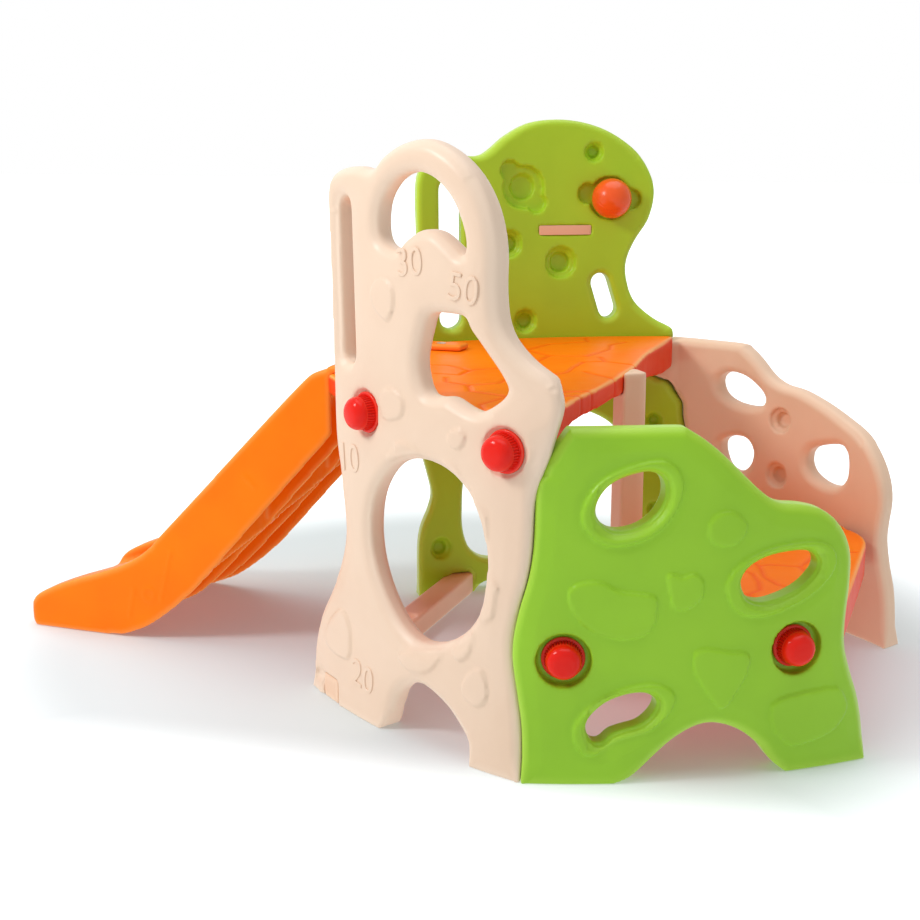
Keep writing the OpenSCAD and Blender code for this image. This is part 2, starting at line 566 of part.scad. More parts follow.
module upper_deck() color(orange) difference() {
    union() {
        floor_plate(deck_plan_shares, [arch_turn, tree_turn], deck_top, deck_t);
        deck_front();
    }
    nut_pockets(arch_turn, arch_knobs);
    nut_pockets(tree_turn, tree_knobs);
    slide_screw_holes();
    post_screw_body(shank_fit);
}

module lower_step() color(orange) difference() {
    floor_plate(step_plan_shares, [hill_turn, rock_turn], step_top, step_t);
    post_section(floor_gap);
    nut_pockets(hill_turn, hill_knobs);
    nut_pockets(rock_turn, rock_knobs);
}

// The room that the front edge of the deck takes on the post, with its gaps
module deck_room()
    intersection() {
        translate([floor_gap, 0, deck_top - lug_t]) linear_extrude(height = lug_t * 2)
            polygon(smooth_loop(spread(deck_plan_shares, gym_r, gym_r)));
        translate([-lug_l, 0, deck_top - rest_gap]) rotate([90, 0, 90]) linear_extrude(height = lug_l * 2)
            polygon(concat(spread(lug_shares, gym_r, -lug_t), [[gym_r, lug_t], [-gym_r, lug_t]]));
    }

// The post carries the deck's front edge on a ledge, and its front rises past it
module centre_post() color(beige) difference() {
    post_section(0);
    deck_room();
    post_screw_body(shank_fit);
}

// Side view of the slide, drawn out from the tower
function slide_points(shares) = [for (s = shares) [slide_x - s[0] * slide_run, s[1] * deck_top]];
function slide_curve(shares) =
    let (p = slide_points(shares), n = len(p))
    concat([for (i = [0:n - 2]) if (p[i] != p[i + 1])
        each span(p[max(i - 1, 0)], p[i], p[i + 1], p[min(i + 2, n - 1)])], [p[n - 1]]);

module across(points, y0, y1)
    translate([0, y1, 0]) rotate([90, 0, 0]) linear_extrude(height = y1 - y0) polygon(points);

module slide_plan() {
    half = slide_w / 2;
    end = slide_x - slide_run;
    r = slide_corner_r;
    linear_extrude(height = deck_top * 2) polygon(concat(
        [[0, -half], [0, half]],
        [for (t = [90:15:180]) [end + r + r * cos(t), half - r + r * sin(t)]],
        [for (t = [180:15:270]) [end + r + r * cos(t), r - half + r * sin(t)]]));
}

module slide() color(orange) {
    half = slide_w / 2;
    skin = [skin_t, -skin_t] / sqrt(2);
    rail = slide_curve(rail_shares);
    bed = slide_curve(bed_shares);
    belly = slide_curve(belly_shares);
    high = deck_top * 2;
    end = slide_x - slide_run;
    inner = half - skin_t;
    bed_half = half - rail_w;
    hollow_end = [end + skin_t * 2, -cut];
    slant = [for (s = slant_rib_shares) slide_x - s * slide_run];
    bed_under = concat([for (p = bed) if (p[0] > end + skin_t * 2) p + skin],
        [hollow_end, [slide_x + skin_t * 2, -cut]]);
    rail_under = concat([for (p = rail) if (p[0] > end + skin_t * 3) p + skin],
        [hollow_end, [slide_x + skin_t * 2, -cut]]);
    rib_line = concat([for (p = bed) if (p[0] > end + skin_t * 2) p + skin / 2],
        [for (k = [len(bed) - 1:-1:0]) if (bed[k][0] > end + skin_t * 2)
            bed[k] + skin * (rib_deep / skin_t)]);
    difference() {
        intersection() {
            across(concat(rail, belly), -half, half);
            slide_plan();
        }
        across(concat(bed, [[end - cut, high], [slide_x + cut, high]]), -bed_half, bed_half);
        across(bed_under, -inner, inner);
        for (side = [0, 1]) mirror([0, side, 0]) across(rail_under, bed_half + skin_t, inner);
    }
    intersection() {
        across(concat(rail, belly), -half, half);
        union() {
            for (s = long_rib_shares)
                across(rib_line, s * slide_w - rib_t / 2, s * slide_w + rib_t / 2);
            intersection() {
                across(rib_line, -inner - cut, inner + cut);
                linear_extrude(height = high) polygon([[slant[0], half], [slant[0] + rib_t, half],
                    [slant[1] + rib_t, -half], [slant[1], -half]]);
            }
        }
    }
    for (side = [0, 1]) mirror([0, side, 0]) rail_tongue();
}

// End of a rail that lies on the deck and is screwed down to it
module rail_tongue() {
    half = slide_w / 2;
    difference() {
        translate([slide_x - skin_t / 2, half - rail_w, deck_top + rest_gap])
            cube([tongue_l + skin_t / 2, rail_w, tongue_h - rest_gap]);
        translate([slide_screw_x, half - rail_w / 2, 0]) {
            cylinder(d = screw_d + 2 * shank_fit, h = deck_top * 2, $fn = round_fn);
            translate([0, 0, deck_top + tongue_h - screw_head_h])
                cylinder(d = screw_head_d + 2 * rest_gap, h = deck_top, $fn = round_fn);
        }
    }
}

module slide_screw_at(side) translate([slide_screw_x, side * (slide_w - rail_w) / 2, 0]) children();

module slide_screw_holes()
    for (side = [-1, 1]) slide_screw_at(side)
        translate([0, 0, deck_top + tongue_h - slide_screw_l - rest_gap])
            cylinder(d = screw_d + 2 * shank_fit, h = slide_screw_l, $fn = round_fn);

module slide_screws() color(nut_grey) for (side = [-1, 1]) slide_screw_at(side)
    translate([0, 0, deck_top + tongue_h]) {
        translate([0, 0, -screw_head_h])
            cylinder(d = screw_head_d, h = screw_head_h - rest_gap, $fn = round_fn);
        translate([0, 0, -slide_screw_l])
            cylinder(d = screw_d, h = slide_screw_l - cut, $fn = round_fn);
    }

// Screw through the post into the side of the deck
module post_screw_body(gap)
    translate([post_x, post_y, post_screw_z]) rotate([0, 0, post_turn]) translate([post_w / 2, 0, 0])
        rotate([0, -90, 0]) {
            translate([0, 0, -gap * cut * 10]) cylinder(d = screw_head_d + 2 * gap,
                h = screw_head_h + gap * cut * 11, $fn = round_fn);
            cylinder(d = screw_d + 2 * gap, h = post_screw_l + gap, $fn = round_fn);
        }

module post_screw() color(nut_grey) post_screw_body(0);

module tie_block(w, h, gap)
    translate([tie_x - w / 2 - gap, -gym_r, -gap]) cube([w + 2 * gap, gym_r * 2, h + 2 * gap]);

module tie_tenon(gap) tie_block(tenon_w, tie_h, gap);

module outside_of(turn, trim)
    rotate([0, 0, turn]) translate([0, bow_y, 0])
        cylinder(r = bow_r - trim, h = tie_h, $fn = bow_fn);

module base_tie() color(beige) difference() {
    union() {
        intersection() {
            tie_block(tie_w, tie_h, 0);
            between_walls([arch_turn, tree_turn], tie_gap, tie_h);
        }
        intersection() {
            tie_block(tenon_w, tie_h, 0);
            outside_of(arch_turn, cut * 2);
            outside_of(tree_turn, cut * 2);
        }
    }
    translate([tie_x, 0, tie_h - tie_dimple_deep])
        cylinder(d = tie_dimple_d, h = tie_dimple_deep + cut, $fn = round_fn);
}

// Hand knob with its shank, seated in the recess of a wall: a thin flange, a
// tapering skirt and a rounded crown
module hand_knob(turn, knob, recess) {
    flange_h = knob_h * flange_h_share;
    flange_edge = flange_h * flange_edge_share;
    skirt_h = knob_h * skirt_h_share;
    crown = grip_d * crown_share;
    reach = wall_t - recess + nut_l * shank_share;
    color(red) rotate([0, 0, turn]) on_wall(knob_u(knob), knob[1])
        translate([0, 0, rest_gap - recess]) {
            rotate_extrude($fn = round_fn * 2) polygon(concat(
                [[0, 0], [flange_d / 2, 0], [flange_d / 2, flange_edge],
                    [flange_d / 2 - flange_h + flange_edge, flange_h],
                    [flange_d / 2 * skirt_d_share, flange_h], [grip_d / 2, skirt_h]],
                [for (t = [0:10:90]) [grip_d / 2 - crown + crown * cos(t),
                    knob_h - crown + crown * sin(t)]],
                [[0, knob_h]]));
            translate([0, 0, -reach]) cylinder(d = shank_d, h = reach + cut, $fn = round_fn);
        }
}

module arch_knob_left() hand_knob(arch_turn, arch_knobs[0], tall_recess);
module arch_knob_right() hand_knob(arch_turn, arch_knobs[1], tall_recess);
module hill_knob_left() hand_knob(hill_turn, hill_knobs[0], low_recess);
module hill_knob_right() hand_knob(hill_turn, hill_knobs[1], low_recess);
module tree_knob_left() hand_knob(tree_turn, tree_knobs[1], tall_recess);
module tree_knob_right() hand_knob(tree_turn, tree_knobs[0], tall_recess);
module rock_knob_left() hand_knob(rock_turn, rock_knobs[1], low_recess);
module rock_knob_right() hand_knob(rock_turn, rock_knobs[0], low_recess);

module nuts(turn, knobs)
    color(nut_grey) rotate([0, 0, turn]) for (knob = knobs)
        on_wall(knob_u(knob) * (1 - wall_t / bow_r), knob[1], wall_t)
            translate([0, 0, -nut_l - rest_gap - cut]) difference() {
                cylinder(d = nut_d, h = nut_l, $fn = round_fn);
                translate([0, 0, -cut])
                    cylinder(d = shank_d + 2 * shank_fit, h = nut_l + 2 * cut, $fn = round_fn);
            }

module deck_nuts() {
    nuts(arch_turn, arch_knobs);
    nuts(tree_turn, tree_knobs);
}

module step_nuts() {
    nuts(hill_turn, hill_knobs);
    nuts(rock_turn, rock_knobs);
}

arch_wall();
hill_wall();
tree_wall();
rock_wall();
upper_deck();
lower_step();
slide();
centre_post();
base_tie();
play_ball();
slot_plug();
arch_knob_left();
arch_knob_right();
hill_knob_left();
hill_knob_right();
tree_knob_left();
tree_knob_right();
rock_knob_left();
rock_knob_right();
deck_nuts();
step_nuts();
slide_screws();
post_screw();
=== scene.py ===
import math

import bpy
import numpy as np
from mathutils import Matrix, Vector
from mathutils.kdtree import KDTree


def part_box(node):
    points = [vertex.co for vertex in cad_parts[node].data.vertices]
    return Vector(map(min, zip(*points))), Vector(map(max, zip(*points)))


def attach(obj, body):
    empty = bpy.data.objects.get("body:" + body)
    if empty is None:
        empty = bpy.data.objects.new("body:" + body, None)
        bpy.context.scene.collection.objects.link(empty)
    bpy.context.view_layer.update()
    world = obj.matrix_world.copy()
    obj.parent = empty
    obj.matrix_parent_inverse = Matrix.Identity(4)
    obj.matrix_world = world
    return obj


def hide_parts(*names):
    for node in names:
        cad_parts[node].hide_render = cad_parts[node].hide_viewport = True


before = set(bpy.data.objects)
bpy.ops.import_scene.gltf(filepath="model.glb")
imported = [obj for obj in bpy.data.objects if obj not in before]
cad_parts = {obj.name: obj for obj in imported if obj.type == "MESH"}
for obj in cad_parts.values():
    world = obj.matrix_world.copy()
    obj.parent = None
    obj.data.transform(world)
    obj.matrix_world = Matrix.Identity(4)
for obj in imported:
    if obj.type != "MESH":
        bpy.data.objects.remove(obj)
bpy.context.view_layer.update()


# Base tie: a moulded bar of sand-coloured plastic on the floor, which holds the feet of
# the two tall walls apart. Its tenons sit in notches of the walls, and a round dimple
# marks its top.

weld_gap = 0.00002
flat_enough = 0.97
soft_levels = 8
tie_edge = 0.012


def copy_of(node):
    """A fresh copy of a solid, with its loose triangles merged, alone and ready to work on."""
    bpy.ops.object.select_all(action="DESELECT")
    piece = bpy.data.objects.new(node + "_moulding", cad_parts[node].data.copy())
    bpy.context.collection.objects.link(piece)
    piece.data.materials.clear()
    bpy.context.view_layer.objects.active = piece
    piece.select_set(True)
    bpy.ops.object.mode_set(mode="EDIT")
    bpy.ops.mesh.select_all(action="SELECT")
    bpy.ops.mesh.remove_doubles(threshold=weld_gap)
    bpy.ops.object.mode_set(mode="OBJECT")
    return piece


def apply_modifier(piece, kind, **settings):
    """Adds a modifier to the piece that is being worked on, and applies it."""
    modifier = piece.modifiers.new(kind.lower(), kind)
    for name, value in settings.items():
        setattr(modifier, name, value)
    bpy.ops.object.modifier_apply(modifier=modifier.name)


def even_out(piece, rounds):
    """Takes the steps of the voxels out of a skin."""
    apply_modifier(piece, "SMOOTH", factor=0.5, iterations=rounds)


def remould(piece, voxel):
    """Turns the flat-faced solid into one even moulded skin."""
    apply_modifier(piece, "REMESH", mode="VOXEL", voxel_size=voxel)


def points_of(piece):
    """Places and normals of all vertices, as two arrays."""
    places = np.empty(len(piece.data.vertices) * 3, np.float32)
    normals = np.empty(len(piece.data.vertices) * 3, np.float32)
    piece.data.vertices.foreach_get("co", places)
    piece.data.vertices.foreach_get("normal", normals)
    return places.reshape(-1, 3), normals.reshape(-1, 3)


def move_points(piece, places):
    """Puts all vertices at new places."""
    piece.data.vertices.foreach_set("co", np.ascontiguousarray(places, np.float32).ravel())
    piece.data.update()


def sharp_points(piece):
    """The vertices that lie on an edge: their faces don't look the same way."""
    count = len(piece.data.polygons)
    normals = np.empty(count * 3, np.float32)
    piece.data.polygons.foreach_get("normal", normals)
    corners = np.empty(len(piece.data.loops), np.int32)
    piece.data.loops.foreach_get("vertex_index", corners)
    sides = np.empty(count, np.int32)
    piece.data.polygons.foreach_get("loop_total", sides)
    per_corner = np.repeat(normals.reshape(-1, 3), sides, axis=0)
    total = np.zeros((len(piece.data.vertices), 3))
    np.add.at(total, corners, per_corner)
    used = np.maximum(np.bincount(corners, minlength=len(total)), 1)
    return np.linalg.norm(total, axis=1) / used < flat_enough


def edge_distance(piece, reach):
    """Distance of every vertex to the nearest edge of the piece, no more than reach."""
    places, _ = points_of(piece)
    edges = sharp_points(piece)
    finder = KDTree(int(edges.sum()))
    for k, place in enumerate(places[edges]):
        finder.insert(place, k)
    finder.balance()
    return np.array([min(finder.find(place)[2], reach) for place in places])


def fade(values, wide):
    """Falls from 1 at zero to 0 over a width."""
    return np.clip(1 - values / wide, 0, 1)


def soften(piece, away, near, far, rounds):
    """Rounds the skin off where it is near an edge, and less towards far."""
    levels = np.round(np.clip((far - away) / (far - near), 0, 1) * soft_levels).astype(int)
    group = piece.vertex_groups.new(name="soft")
    for level in range(1, soft_levels + 1):
        group.add(np.flatnonzero(levels == level).tolist(), level / soft_levels, "REPLACE")
    apply_modifier(piece, "SMOOTH", factor=0.5, iterations=rounds, vertex_group="soft")
    piece.vertex_groups.clear()


def mark(piece, name, values):
    """Keeps one number for each vertex, which the materials read."""
    layer = piece.data.attributes.new(name, "FLOAT", "POINT")
    layer.data.foreach_set("value", np.asarray(values, np.float32))


def screen_colour(red, green, blue):
    """A colour as it looks on a screen, 0 to 255, in the shader's linear numbers."""
    parts = [v / 255 for v in (red, green, blue)]
    return tuple(v / 12.92 if v < 0.04045 else ((v + 0.055) / 1.055) ** 2.4 for v in parts) + (1,)


def moulded_plastic(name, colour, shade, highlight_colour, painted_shade_colour, rough, gloss):
    """Satin moulded plastic: faint clouds of colour between colour and shade, a fine grain,
    painted highlights on marked edges in a lighter colour, and painted shade on marked creases and
    shaded faces in a deeper colour. rough is its roughness, and gloss the strength of its shine."""
    material = bpy.data.materials.new(name)
    material.use_nodes = True
    nodes, links = material.node_tree.nodes, material.node_tree.links
    shader = nodes["Principled BSDF"]
    shader.inputs["IOR"].default_value = 1.48
    shader.inputs["Specular IOR Level"].default_value = gloss
    place = nodes.new("ShaderNodeTexCoord")

    clouds = nodes.new("ShaderNodeTexNoise")
    clouds.inputs["Scale"].default_value = 5.5
    clouds.inputs["Detail"].default_value = 4
    grain = nodes.new("ShaderNodeTexNoise")
    grain.inputs["Scale"].default_value = 620
    grain.inputs["Detail"].default_value = 2
    swell = nodes.new("ShaderNodeTexNoise")
    swell.inputs["Scale"].default_value = 24
    swell.inputs["Detail"].default_value = 1
    for texture in (clouds, grain, swell):
        links.new(place.outputs["Object"], texture.inputs["Vector"])

    cloud_mix = nodes.new("ShaderNodeMix")
    cloud_mix.data_type = "RGBA"
    cloud_mix.inputs["A"].default_value = colour
    cloud_mix.inputs["B"].default_value = shade
    cloud_range = nodes.new("ShaderNodeMapRange")
    cloud_range.inputs["From Min"].default_value = 0.4
    cloud_range.inputs["From Max"].default_value = 0.75
    links.new(clouds.outputs["Fac"], cloud_range.inputs["Value"])
    links.new(cloud_range.outputs["Result"], cloud_mix.inputs["Factor"])

    # Painted highlight: edges marked for it are lightened towards the lighter colour.
    edge_highlight = nodes.new("ShaderNodeAttribute")
    edge_highlight.attribute_name = "edge_highlight"
    highlight_share = nodes.new("ShaderNodeMath")
    highlight_share.operation = "MULTIPLY"
    links.new(edge_highlight.outputs["Fac"], highlight_share.inputs[0])
    links.new(clouds.outputs["Fac"], highlight_share.inputs[1])
    highlight_mix = nodes.new("ShaderNodeMix")
    highlight_mix.data_type = "RGBA"
    highlight_mix.inputs["B"].default_value = highlight_colour
    links.new(highlight_share.outputs["Value"], highlight_mix.inputs["Factor"])
    links.new(cloud_mix.outputs["Result"], highlight_mix.inputs["A"])

    # Painted shade: creases and shaded faces marked for it are darkened towards the deeper colour.
    painted_shade = nodes.new("ShaderNodeAttribute")
    painted_shade.attribute_name = "painted_shade"
    painted_shade_mix = nodes.new("ShaderNodeMix")
    painted_shade_mix.data_type = "RGBA"
    painted_shade_mix.inputs["B"].default_value = painted_shade_colour
    links.new(painted_shade.outputs["Fac"], painted_shade_mix.inputs["Factor"])
    links.new(highlight_mix.outputs["Result"], painted_shade_mix.inputs["A"])
    links.new(painted_shade_mix.outputs["Result"], shader.inputs["Base Color"])

    satin = nodes.new("ShaderNodeMapRange")
    satin.inputs["To Min"].default_value = rough - 0.06
    satin.inputs["To Max"].default_value = rough + 0.08
    links.new(swell.outputs["Fac"], satin.inputs["Value"])
    links.new(satin.outputs["Result"], shader.inputs["Roughness"])

    wave = nodes.new("ShaderNodeBump")
    wave.inputs["Strength"].default_value = 0.12
    wave.inputs["Distance"].default_value = 0.003
    links.new(swell.outputs["Fac"], wave.inputs["Height"])
    pores = nodes.new("ShaderNodeBump")
    pores.inputs["Strength"].default_value = 0.1
    pores.inputs["Distance"].default_value = 0.0006
    links.new(grain.outputs["Fac"], pores.inputs["Height"])
    links.new(wave.outputs["Normal"], pores.inputs["Normal"])
    links.new(pores.outputs["Normal"], shader.inputs["Normal"])
    return material


def finish_piece(piece, material, slot, *nodes):
    """Smooth shading, its material, and its place among the bodies."""
    bpy.ops.object.shade_smooth()
    piece.data.materials.append(material)
    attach(piece, "gym")
    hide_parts(*nodes)


# In each plastic the third colour is that of painted highlights on edges, and the fourth that of painted
# shade.
sand_plastic = moulded_plastic("sand_plastic", colour=screen_colour(235, 199, 170),
                               shade=screen_colour(228, 188, 158), highlight_colour=screen_colour(246, 216, 190),
                               painted_shade_colour=screen_colour(176, 140, 114), rough=0.42, gloss=0.25)

tie = copy_of("base_tie")
remould(tie, voxel=0.003)
even_out(tie, rounds=2)
away = edge_distance(tie, reach=0.03)
soften(tie, away, near=0.004, far=tie_edge, rounds=8)
# Painted highlight: the edges of the tie are lightened.
mark(tie, "edge_highlight", fade(away, tie_edge))
finish_piece(tie, sand_plastic, "sand", "base_tie")


# Centre post: a square hollow moulding of the same plastic, with soft corners, under
# the front edge of the deck. Its domed top stands just proud of the deck, and a screw
# holds it there.

head_start = 0.55
head_tall = 0.04
head_round = 0.012
post_highlight = 0.015


def ramp(values, start, wide):
    """Rises from 0 at start to 1 over a width."""
    return np.clip((values - start) / wide, 0, 1)


post = copy_of("centre_post")
remould(post, voxel=0.0028)
even_out(post, rounds=2)
away = edge_distance(post, reach=0.04)
places, _ = points_of(post)
head = ramp(places[:, 2], head_start, head_tall)
soften(post, away - head * head_round, near=0.004, far=0.014, rounds=18)
# Painted highlight: the edges of the post are lightened.
mark(post, "edge_highlight", fade(away, post_highlight))
finish_piece(post, sand_plastic, "sand", "centre_post")


# Arch wall: a tall hollow moulding of beige plastic beside the slide, with a crawl
# hole, a window, a crescent and a hand grip. Its holes and outline roll over in wide
# soft edges, and two hand knobs hold it to the deck.

bow_radius = 1.25
bow_centre = 0.6784
wall_thick = 0.05

rim_band = 0.22
rim_upright = 0.55
mitre_points = 20
mitre_least = 0.12
floor_round = 0.004
foot_tall = 0.04
fall_deep = 0.02
fall_foot = 0.05
notch_half = 0.0405
notch_tall = 0.05
skin_share = 1.5
wall_highlight = 0.016
wall_highlight_tint = 0.7

pad_rise = 0.0045
pad_foot = 0.0006
pad_flank = 0.0016
pad_shelf = 0.0024


def wall_frame(angle):
    """Outward and sideways directions of a wall, from the angle that it faces."""
    turn = math.radians(angle)
    return np.array([math.cos(turn), math.sin(turn)]), np.array([-math.sin(turn), math.cos(turn)])


def wall_directions(along, angle):
    """The same directions at places along the bow of the wall."""
    out, side = wall_frame(angle)
    swing = (along / bow_radius)[:, None]
    return np.cos(swing) * out + np.sin(swing) * side, np.cos(swing) * side - np.sin(swing) * out


def unrolled(places, angle):
    """Place along a bowed wall, and distance from the axis of its bow."""
    out, side = wall_frame(angle)
    from_axis = places[:, :2] + out * bow_centre
    along = np.arctan2(from_axis @ side, from_axis @ out) * bow_radius
    return along, np.linalg.norm(from_axis, axis=1)


def rolled(along, far, height, angle):
    """The reverse: places in the frame of points on a wall."""
    out, _ = wall_frame(angle)
    outward, _ = wall_directions(along, angle)
    return np.column_stack((outward * far[:, None] - out * bow_centre, height))


def dot(one, other):
    """Products of two lists of directions, row by row."""
    return np.einsum("ij,ij->i", one, other)


def smooth_step(share):
    """A share from 0 to 1 that starts and ends gently."""
    return share ** 2 * (3 - 2 * share)


def nearest_rim(along, far, height, facing, looking, rim, voxel):
    """For each point of a wall: its distance in from the nearest rim, the way in from there, and the
    height of that rim. A mitred rim is tilted, and the distance follows its tilt."""
    finder = KDTree(len(rim))
    for k, i in enumerate(rim):
        finder.insert((along[i], height[i], 0), k)
    finder.balance()
    found = [finder.find((u, z, 0)) for u, z in zip(along, height)]
    rim_point = np.array([f[1] for f in found])
    away = np.array([f[2] for f in found])
    nearest = rim[rim_point]

    apart = np.column_stack((along - along[nearest], height - height[nearest]))
    inward = -looking[nearest]
    inward /= np.maximum(np.linalg.norm(inward, axis=1), 1e-6)[:, None]
    inset = dot(apart, inward)
    inner = (away > voxel) & (inset > 0)
    inward[inner] = apart[inner] / away[inner, None]

    around = [finder.find_n((along[i], height[i], 0), mitre_points) for i in rim]
    tilt = np.array([np.mean([facing[rim[f[1]]] for f in group]) for group in around])
    tilt = np.where(np.abs(tilt) > mitre_least, tilt, 0)[rim_point]
    edge = np.clip(np.where(inner, away, inset) - tilt * (far - far[nearest]), 0, None)
    return edge, inward, height[nearest]


def crisp_pads(wall, angle):
    """Gives pads and lips steep sides: what stands proud of the bow rises in one short step."""
    places, _ = points_of(wall)
    along, far = unrolled(places, angle)
    proud = far - bow_radius
    step_up = smooth_step(ramp(proud, pad_foot, pad_flank))
    raised = bow_radius + pad_rise * step_up + np.clip(proud - pad_shelf, 0, None)
    move_points(wall, rolled(along, np.where(proud > 0, raised, far), places[:, 2], angle))


def moulded_wall(node, angle, voxel, round_off, seats, slope, slope_wide, notch=None):
    """A wall whose outline and holes are rounded off. The seats, as (along, height, radius), and the
    notch of the tie, by its place along the wall, keep their crisp edges. The face falls away by
    slope over slope_wide towards its edges."""
    wall = copy_of(node)
    remould(wall, voxel)
    even_out(wall, rounds=2)
    places, normals = points_of(wall)
    along, far = unrolled(places, angle)
    height = places[:, 2].copy()
    outward, sideways = wall_directions(along, angle)
    facing = dot(outward, normals[:, :2])
    looking = np.column_stack((dot(sideways, normals[:, :2]), normals[:, 2]))

    seated = np.zeros(len(places), bool)
    for u, z, radius in seats:
        seated |= (along - u) ** 2 + (height - z) ** 2 < radius ** 2
    crisp = seated.copy()
    if notch is not None:
        crisp |= (np.abs(along - notch) < notch_half) & (height < notch_tall)
    outer = bow_radius - far
    middle = np.abs(outer - wall_thick / 2) < wall_thick * rim_band
    rim = np.flatnonzero((np.abs(facing) < rim_upright) & ~crisp & middle)
    edge, inward, rim_height = nearest_rim(along, far, height, facing, looking, rim, voxel)

    outside = outer < wall_thick / 2
    depth = np.clip(np.where(outside, outer, wall_thick - outer), 0, None)
    round_here = floor_round + (round_off - floor_round) * np.clip(rim_height / foot_tall, 0, 1)
    run = depth - edge
    bend = (np.clip(run / round_here, -1, 1) + 1) * math.pi / 4
    in_reach = (np.abs(run) < round_here) & (np.minimum(depth, edge) < voxel * skin_share) & ~seated
    step_in = np.where(in_reach, round_here * (1 - np.sin(bend)) - edge, 0)
    step_down = np.where(in_reach, round_here * (1 - np.cos(bend)) - depth, 0)
    fall = fade(edge, slope_wide) * fade(depth, fall_deep) * outside
    step_down = step_down + fall * slope * np.clip(height / fall_foot, 0, 1)

    along = along + inward[:, 0] * step_in
    height = np.maximum(height + inward[:, 1] * step_in, 0)
    far = far - np.where(outside, step_down, -step_down)
    move_points(wall, rolled(along, far, height, angle))
    even_out(wall, rounds=2)
    crisp_pads(wall, angle)
    # Painted highlight: the rims round the outline and the holes are lightened, but not the knob seats.
    mark(wall, "edge_highlight", fade(edge, wall_highlight) * ~seated * wall_highlight_tint)
    return wall


bulge_height = 0.63
bulge_below = 0.072
bulge_above = 0.062
bulge_turn = math.radians(3)
hill_reach = math.radians(10)
strip_reach = math.radians(1.1)
reach_above_knob = math.radians(7)
edge_past_seam = math.radians(1.7)
knob_top = 0.59
knob_clear = 0.06
closed_height = 0.54
closed_tall = 0.05
closed_from = math.radians(0.2)
closed_over = math.radians(1.6)


def bell(values, wide):
    """A bell curve: 1 at zero, fading out over a width on both sides."""
    return np.exp(-(values / wide) ** 2)


def lean_seam(wall, close):
    """Near its top the seam of the two front walls leans over towards the low one: both are turned
    a little about the middle of the gym, but not where the knob sits. Beside the knob the gap is
    closed by the angle close."""
    places, _ = points_of(wall)
    height = places[:, 2]
    from_seam = np.arctan2(places[:, 1], places[:, 0]) + math.pi / 2
    above_knob = ramp(height, knob_top, knob_clear)
    from_edge = from_seam - edge_past_seam * (1 - above_knob)
    reach = np.where(from_edge < 0, strip_reach + reach_above_knob * above_knob, hill_reach)
    rise = np.where(height < bulge_height, bulge_below, bulge_above)
    turn = bulge_turn * bell(height - bulge_height, rise) * bell(from_edge, reach)
    past_knob = smooth_step(ramp(from_seam, closed_from, closed_over))
    turn = turn + close * bell(height - closed_height, closed_tall) * past_knob
    swung = np.column_stack((places[:, 0] * np.cos(turn) - places[:, 1] * np.sin(turn),
                             places[:, 0] * np.sin(turn) + places[:, 1] * np.cos(turn), height))
    move_points(wall, swung)


beige_plastic = moulded_plastic("beige_plastic", colour=screen_colour(233, 205, 181),
                                shade=screen_colour(228, 198, 173), highlight_colour=screen_colour(246, 226, 206),
                                painted_shade_colour=screen_colour(178, 150, 128), rough=0.36, gloss=0.35)

tie_along = 0.194
arch_angle = 240
arch_seats = [(-0.058, 0.571, 0.046), (0.272, 0.551, 0.046)]
arch = moulded_wall("arch_wall", arch_angle, voxel=0.0038, round_off=0.021, seats=arch_seats,
                    slope=0.003, slope_wide=0.044, notch=-tie_along)
lean_seam(arch, close=math.radians(1.2))
finish_piece(arch, beige_plastic, "beige", "arch_wall")


# Height numbers: plain figures in low relief on the outside of the arch wall. They
# are moulded with it, in its own beige plastic.

figure_share = 0.7
figure_rise = 0.0016
figure_round = 0.0009
figure_thin = -0.0008
figure_sink = 0.0006


def stand_on_wall(angle, along, height, lift):
    """Where something stands on the outside of a wall, with Z outwards and Y up."""
    out, side = wall_frame(angle)
    turn = math.asin(along / bow_radius)
    face = out * math.cos(turn) + side * math.sin(turn)
    right = side * math.cos(turn) - out * math.sin(turn)
    spot = face * (bow_radius + lift) - out * bow_centre
    return Matrix(((right[0], 0, face[0], spot[0]), (right[1], 0, face[1], spot[1]),
                   (0, 1, 0, height), (0, 0, 0, 1)))


def relief_number(figures, tall, along, height, lean):
    """Low raised figures on the outside of the arch wall, leaning by some degrees."""
    bpy.ops.object.select_all(action="DESELECT")
    bpy.ops.object.text_add()
    number = bpy.context.object
    number.name = "height_number_" + figures
    number.data.body = figures
    number.data.size = tall / figure_share
    number.data.align_x = "CENTER"
    number.data.align_y = "CENTER"
    number.data.extrude = figure_rise
    number.data.bevel_depth = figure_round
    number.data.bevel_resolution = 2
    number.data.offset = figure_thin
    bpy.ops.object.convert(target="MESH")
    stand = stand_on_wall(arch_angle, along, height, -figure_sink)
    number.matrix_world = stand @ Matrix.Rotation(math.radians(lean), 4, "Z")
    bpy.ops.object.transform_apply(location=True, rotation=True, scale=True)
    bpy.ops.object.mode_set(mode="EDIT")
    bpy.ops.mesh.select_all(action="SELECT")
    bpy.ops.mesh.remove_doubles(threshold=0.00005)
    bpy.ops.object.mode_set(mode="OBJECT")
    bpy.ops.object.shade_smooth_by_angle(angle=math.radians(50))
    number.data.materials.append(beige_plastic)
    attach(number, "gym")


relief_number("30", tall=0.046, along=0.070, height=0.835, lean=6)
relief_number("50", tall=0.046, along=0.190, height=0.800, lean=-8)
relief_number("10", tall=0.050, along=-0.110, height=0.480, lean=4)
relief_number("20", tall=0.050, along=-0.075, height=0.082, lean=-6)


# Hill wall: the low green wall at the front, a hollow moulding held to the step by two
# hand knobs. It has three climbing holes in raised lips, and flat raised pads.

leaf_plastic = moulded_plastic("leaf_plastic", colour=screen_colour(152, 204, 42),
                               shade=screen_colour(144, 195, 38), highlight_colour=screen_colour(190, 226, 84),
                               painted_shade_colour=screen_colour(104, 146, 28), rough=0.34, gloss=0.32)

